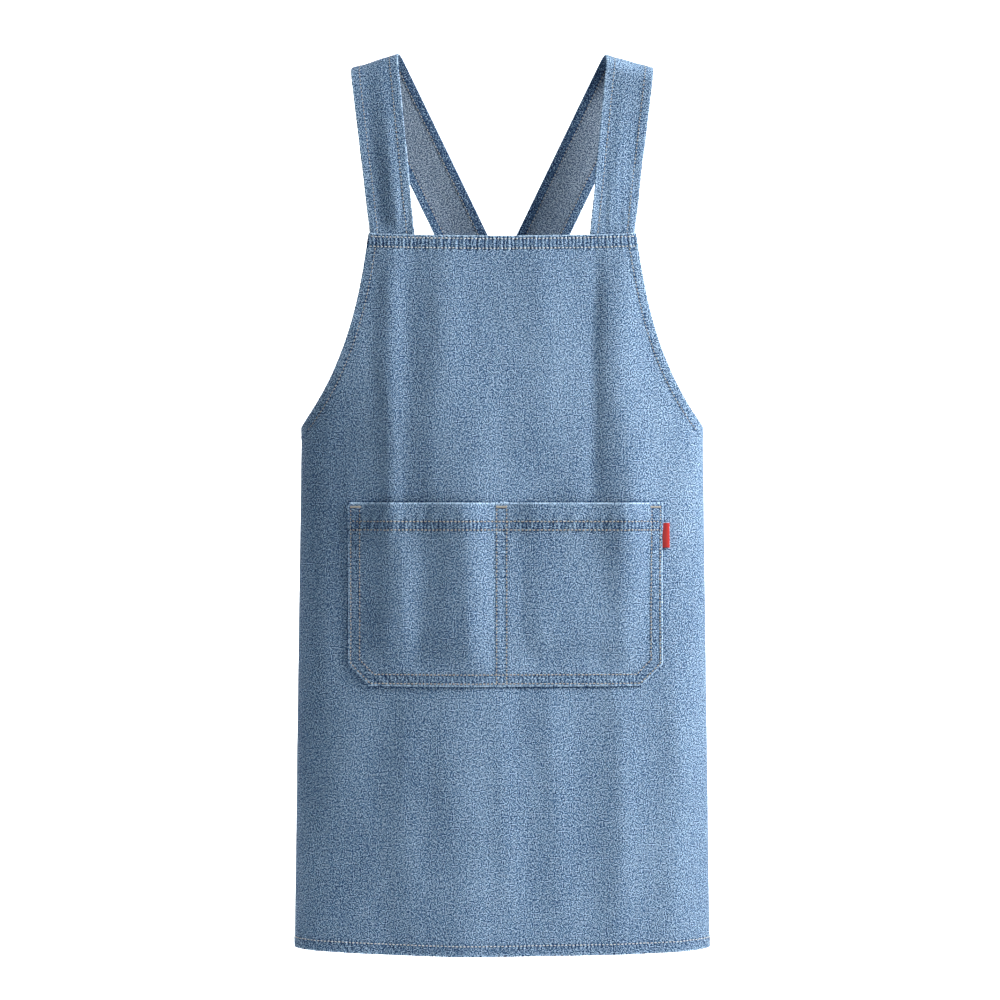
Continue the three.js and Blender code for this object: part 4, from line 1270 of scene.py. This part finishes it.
def backdrop_paper():
    """White paper: clear from behind, and pale to the eye where the lamps miss it."""
    n = Nodes("backdrop_paper", 0.95)
    grain = n.noise(n.add("TexCoord").outputs["Object"], 30.0, 3.0)
    shade = n.mix(n.maths("MULTIPLY", grain, 0.06), rgb(250, 250, 250), rgb(236, 236, 236))
    paper = n.finish(shade, grain, distance=0.0005, strength=0.1)
    seen = n.maths("MULTIPLY", n.add("LightPath").outputs["Is Camera Ray"], GLOW)
    glow = n.add("Emission", Color=PALE, Strength=seen)
    lit = n.add("AddShader", i0=n.shader.outputs[0], i1=glow.outputs[0])
    behind = n.add("NewGeometry").outputs["Backfacing"]
    mixed = n.add("MixShader", i0=behind, i1=lit.outputs[0], i2=n.add("BsdfTransparent").outputs[0])
    n.feed(n.tree.nodes["Material Output"].inputs[0], mixed.outputs[0])
    return paper


def face(thing, place_at, target):
    """Puts a lamp at a place, looking at the target."""
    thing.location = place_at
    direction = Vector(target) - Vector(place_at)
    thing.rotation_euler = direction.to_track_quat("-Z", "Y").to_euler()


def build_lamps():
    """Soft window light from the right, a lit wall, and a broad light overhead."""
    for name, (place_at, target, size, watts, spread, colour) in LAMPS.items():
        data = bpy.data.lights.new(name, "AREA")
        data.shape, data.size, data.size_y = "RECTANGLE", size[0], size[1]
        data.energy, data.spread, data.color = watts, math.radians(spread), colour
        lamp = bpy.data.objects.new(name, data)
        face(lamp, place_at, target)
        bpy.context.scene.collection.objects.link(lamp)


def build_world():
    """A dim blue fill, seen as a pale room where the backdrop ends."""
    world = bpy.data.worlds.new("studio")
    world.use_nodes = True
    nodes, links = world.node_tree.nodes, world.node_tree.links
    fill, room = nodes["Background"], nodes.new("ShaderNodeBackground")
    mixed = nodes.new("ShaderNodeMixShader")
    fill.inputs[0].default_value, fill.inputs[1].default_value = FILL, FILL_POWER
    room.inputs[0].default_value, room.inputs[1].default_value = ROOM, ROOM_POWER
    links.new(nodes.new("ShaderNodeLightPath").outputs["Is Camera Ray"], mixed.inputs[0])
    links.new(fill.outputs[0], mixed.inputs[1])
    links.new(room.outputs[0], mixed.inputs[2])
    links.new(mixed.outputs[0], nodes["World Output"].inputs[0])
    bpy.context.scene.world = world


def build_camera():
    """The photo's view: level, straight on and from about 3 m."""
    data = bpy.data.cameras.new("camera")
    data.lens, data.sensor_width = LENS, SENSOR
    camera = bpy.data.objects.new("camera", data)
    camera.location = CAMERA_PLACE
    camera.rotation_euler = (QUARTER, 0, 0)
    bpy.context.scene.collection.objects.link(camera)
    bpy.context.scene.camera = camera


build_stage()
build_lamps()
build_world()
build_camera()
bpy.context.scene.view_settings.view_transform = "Standard"
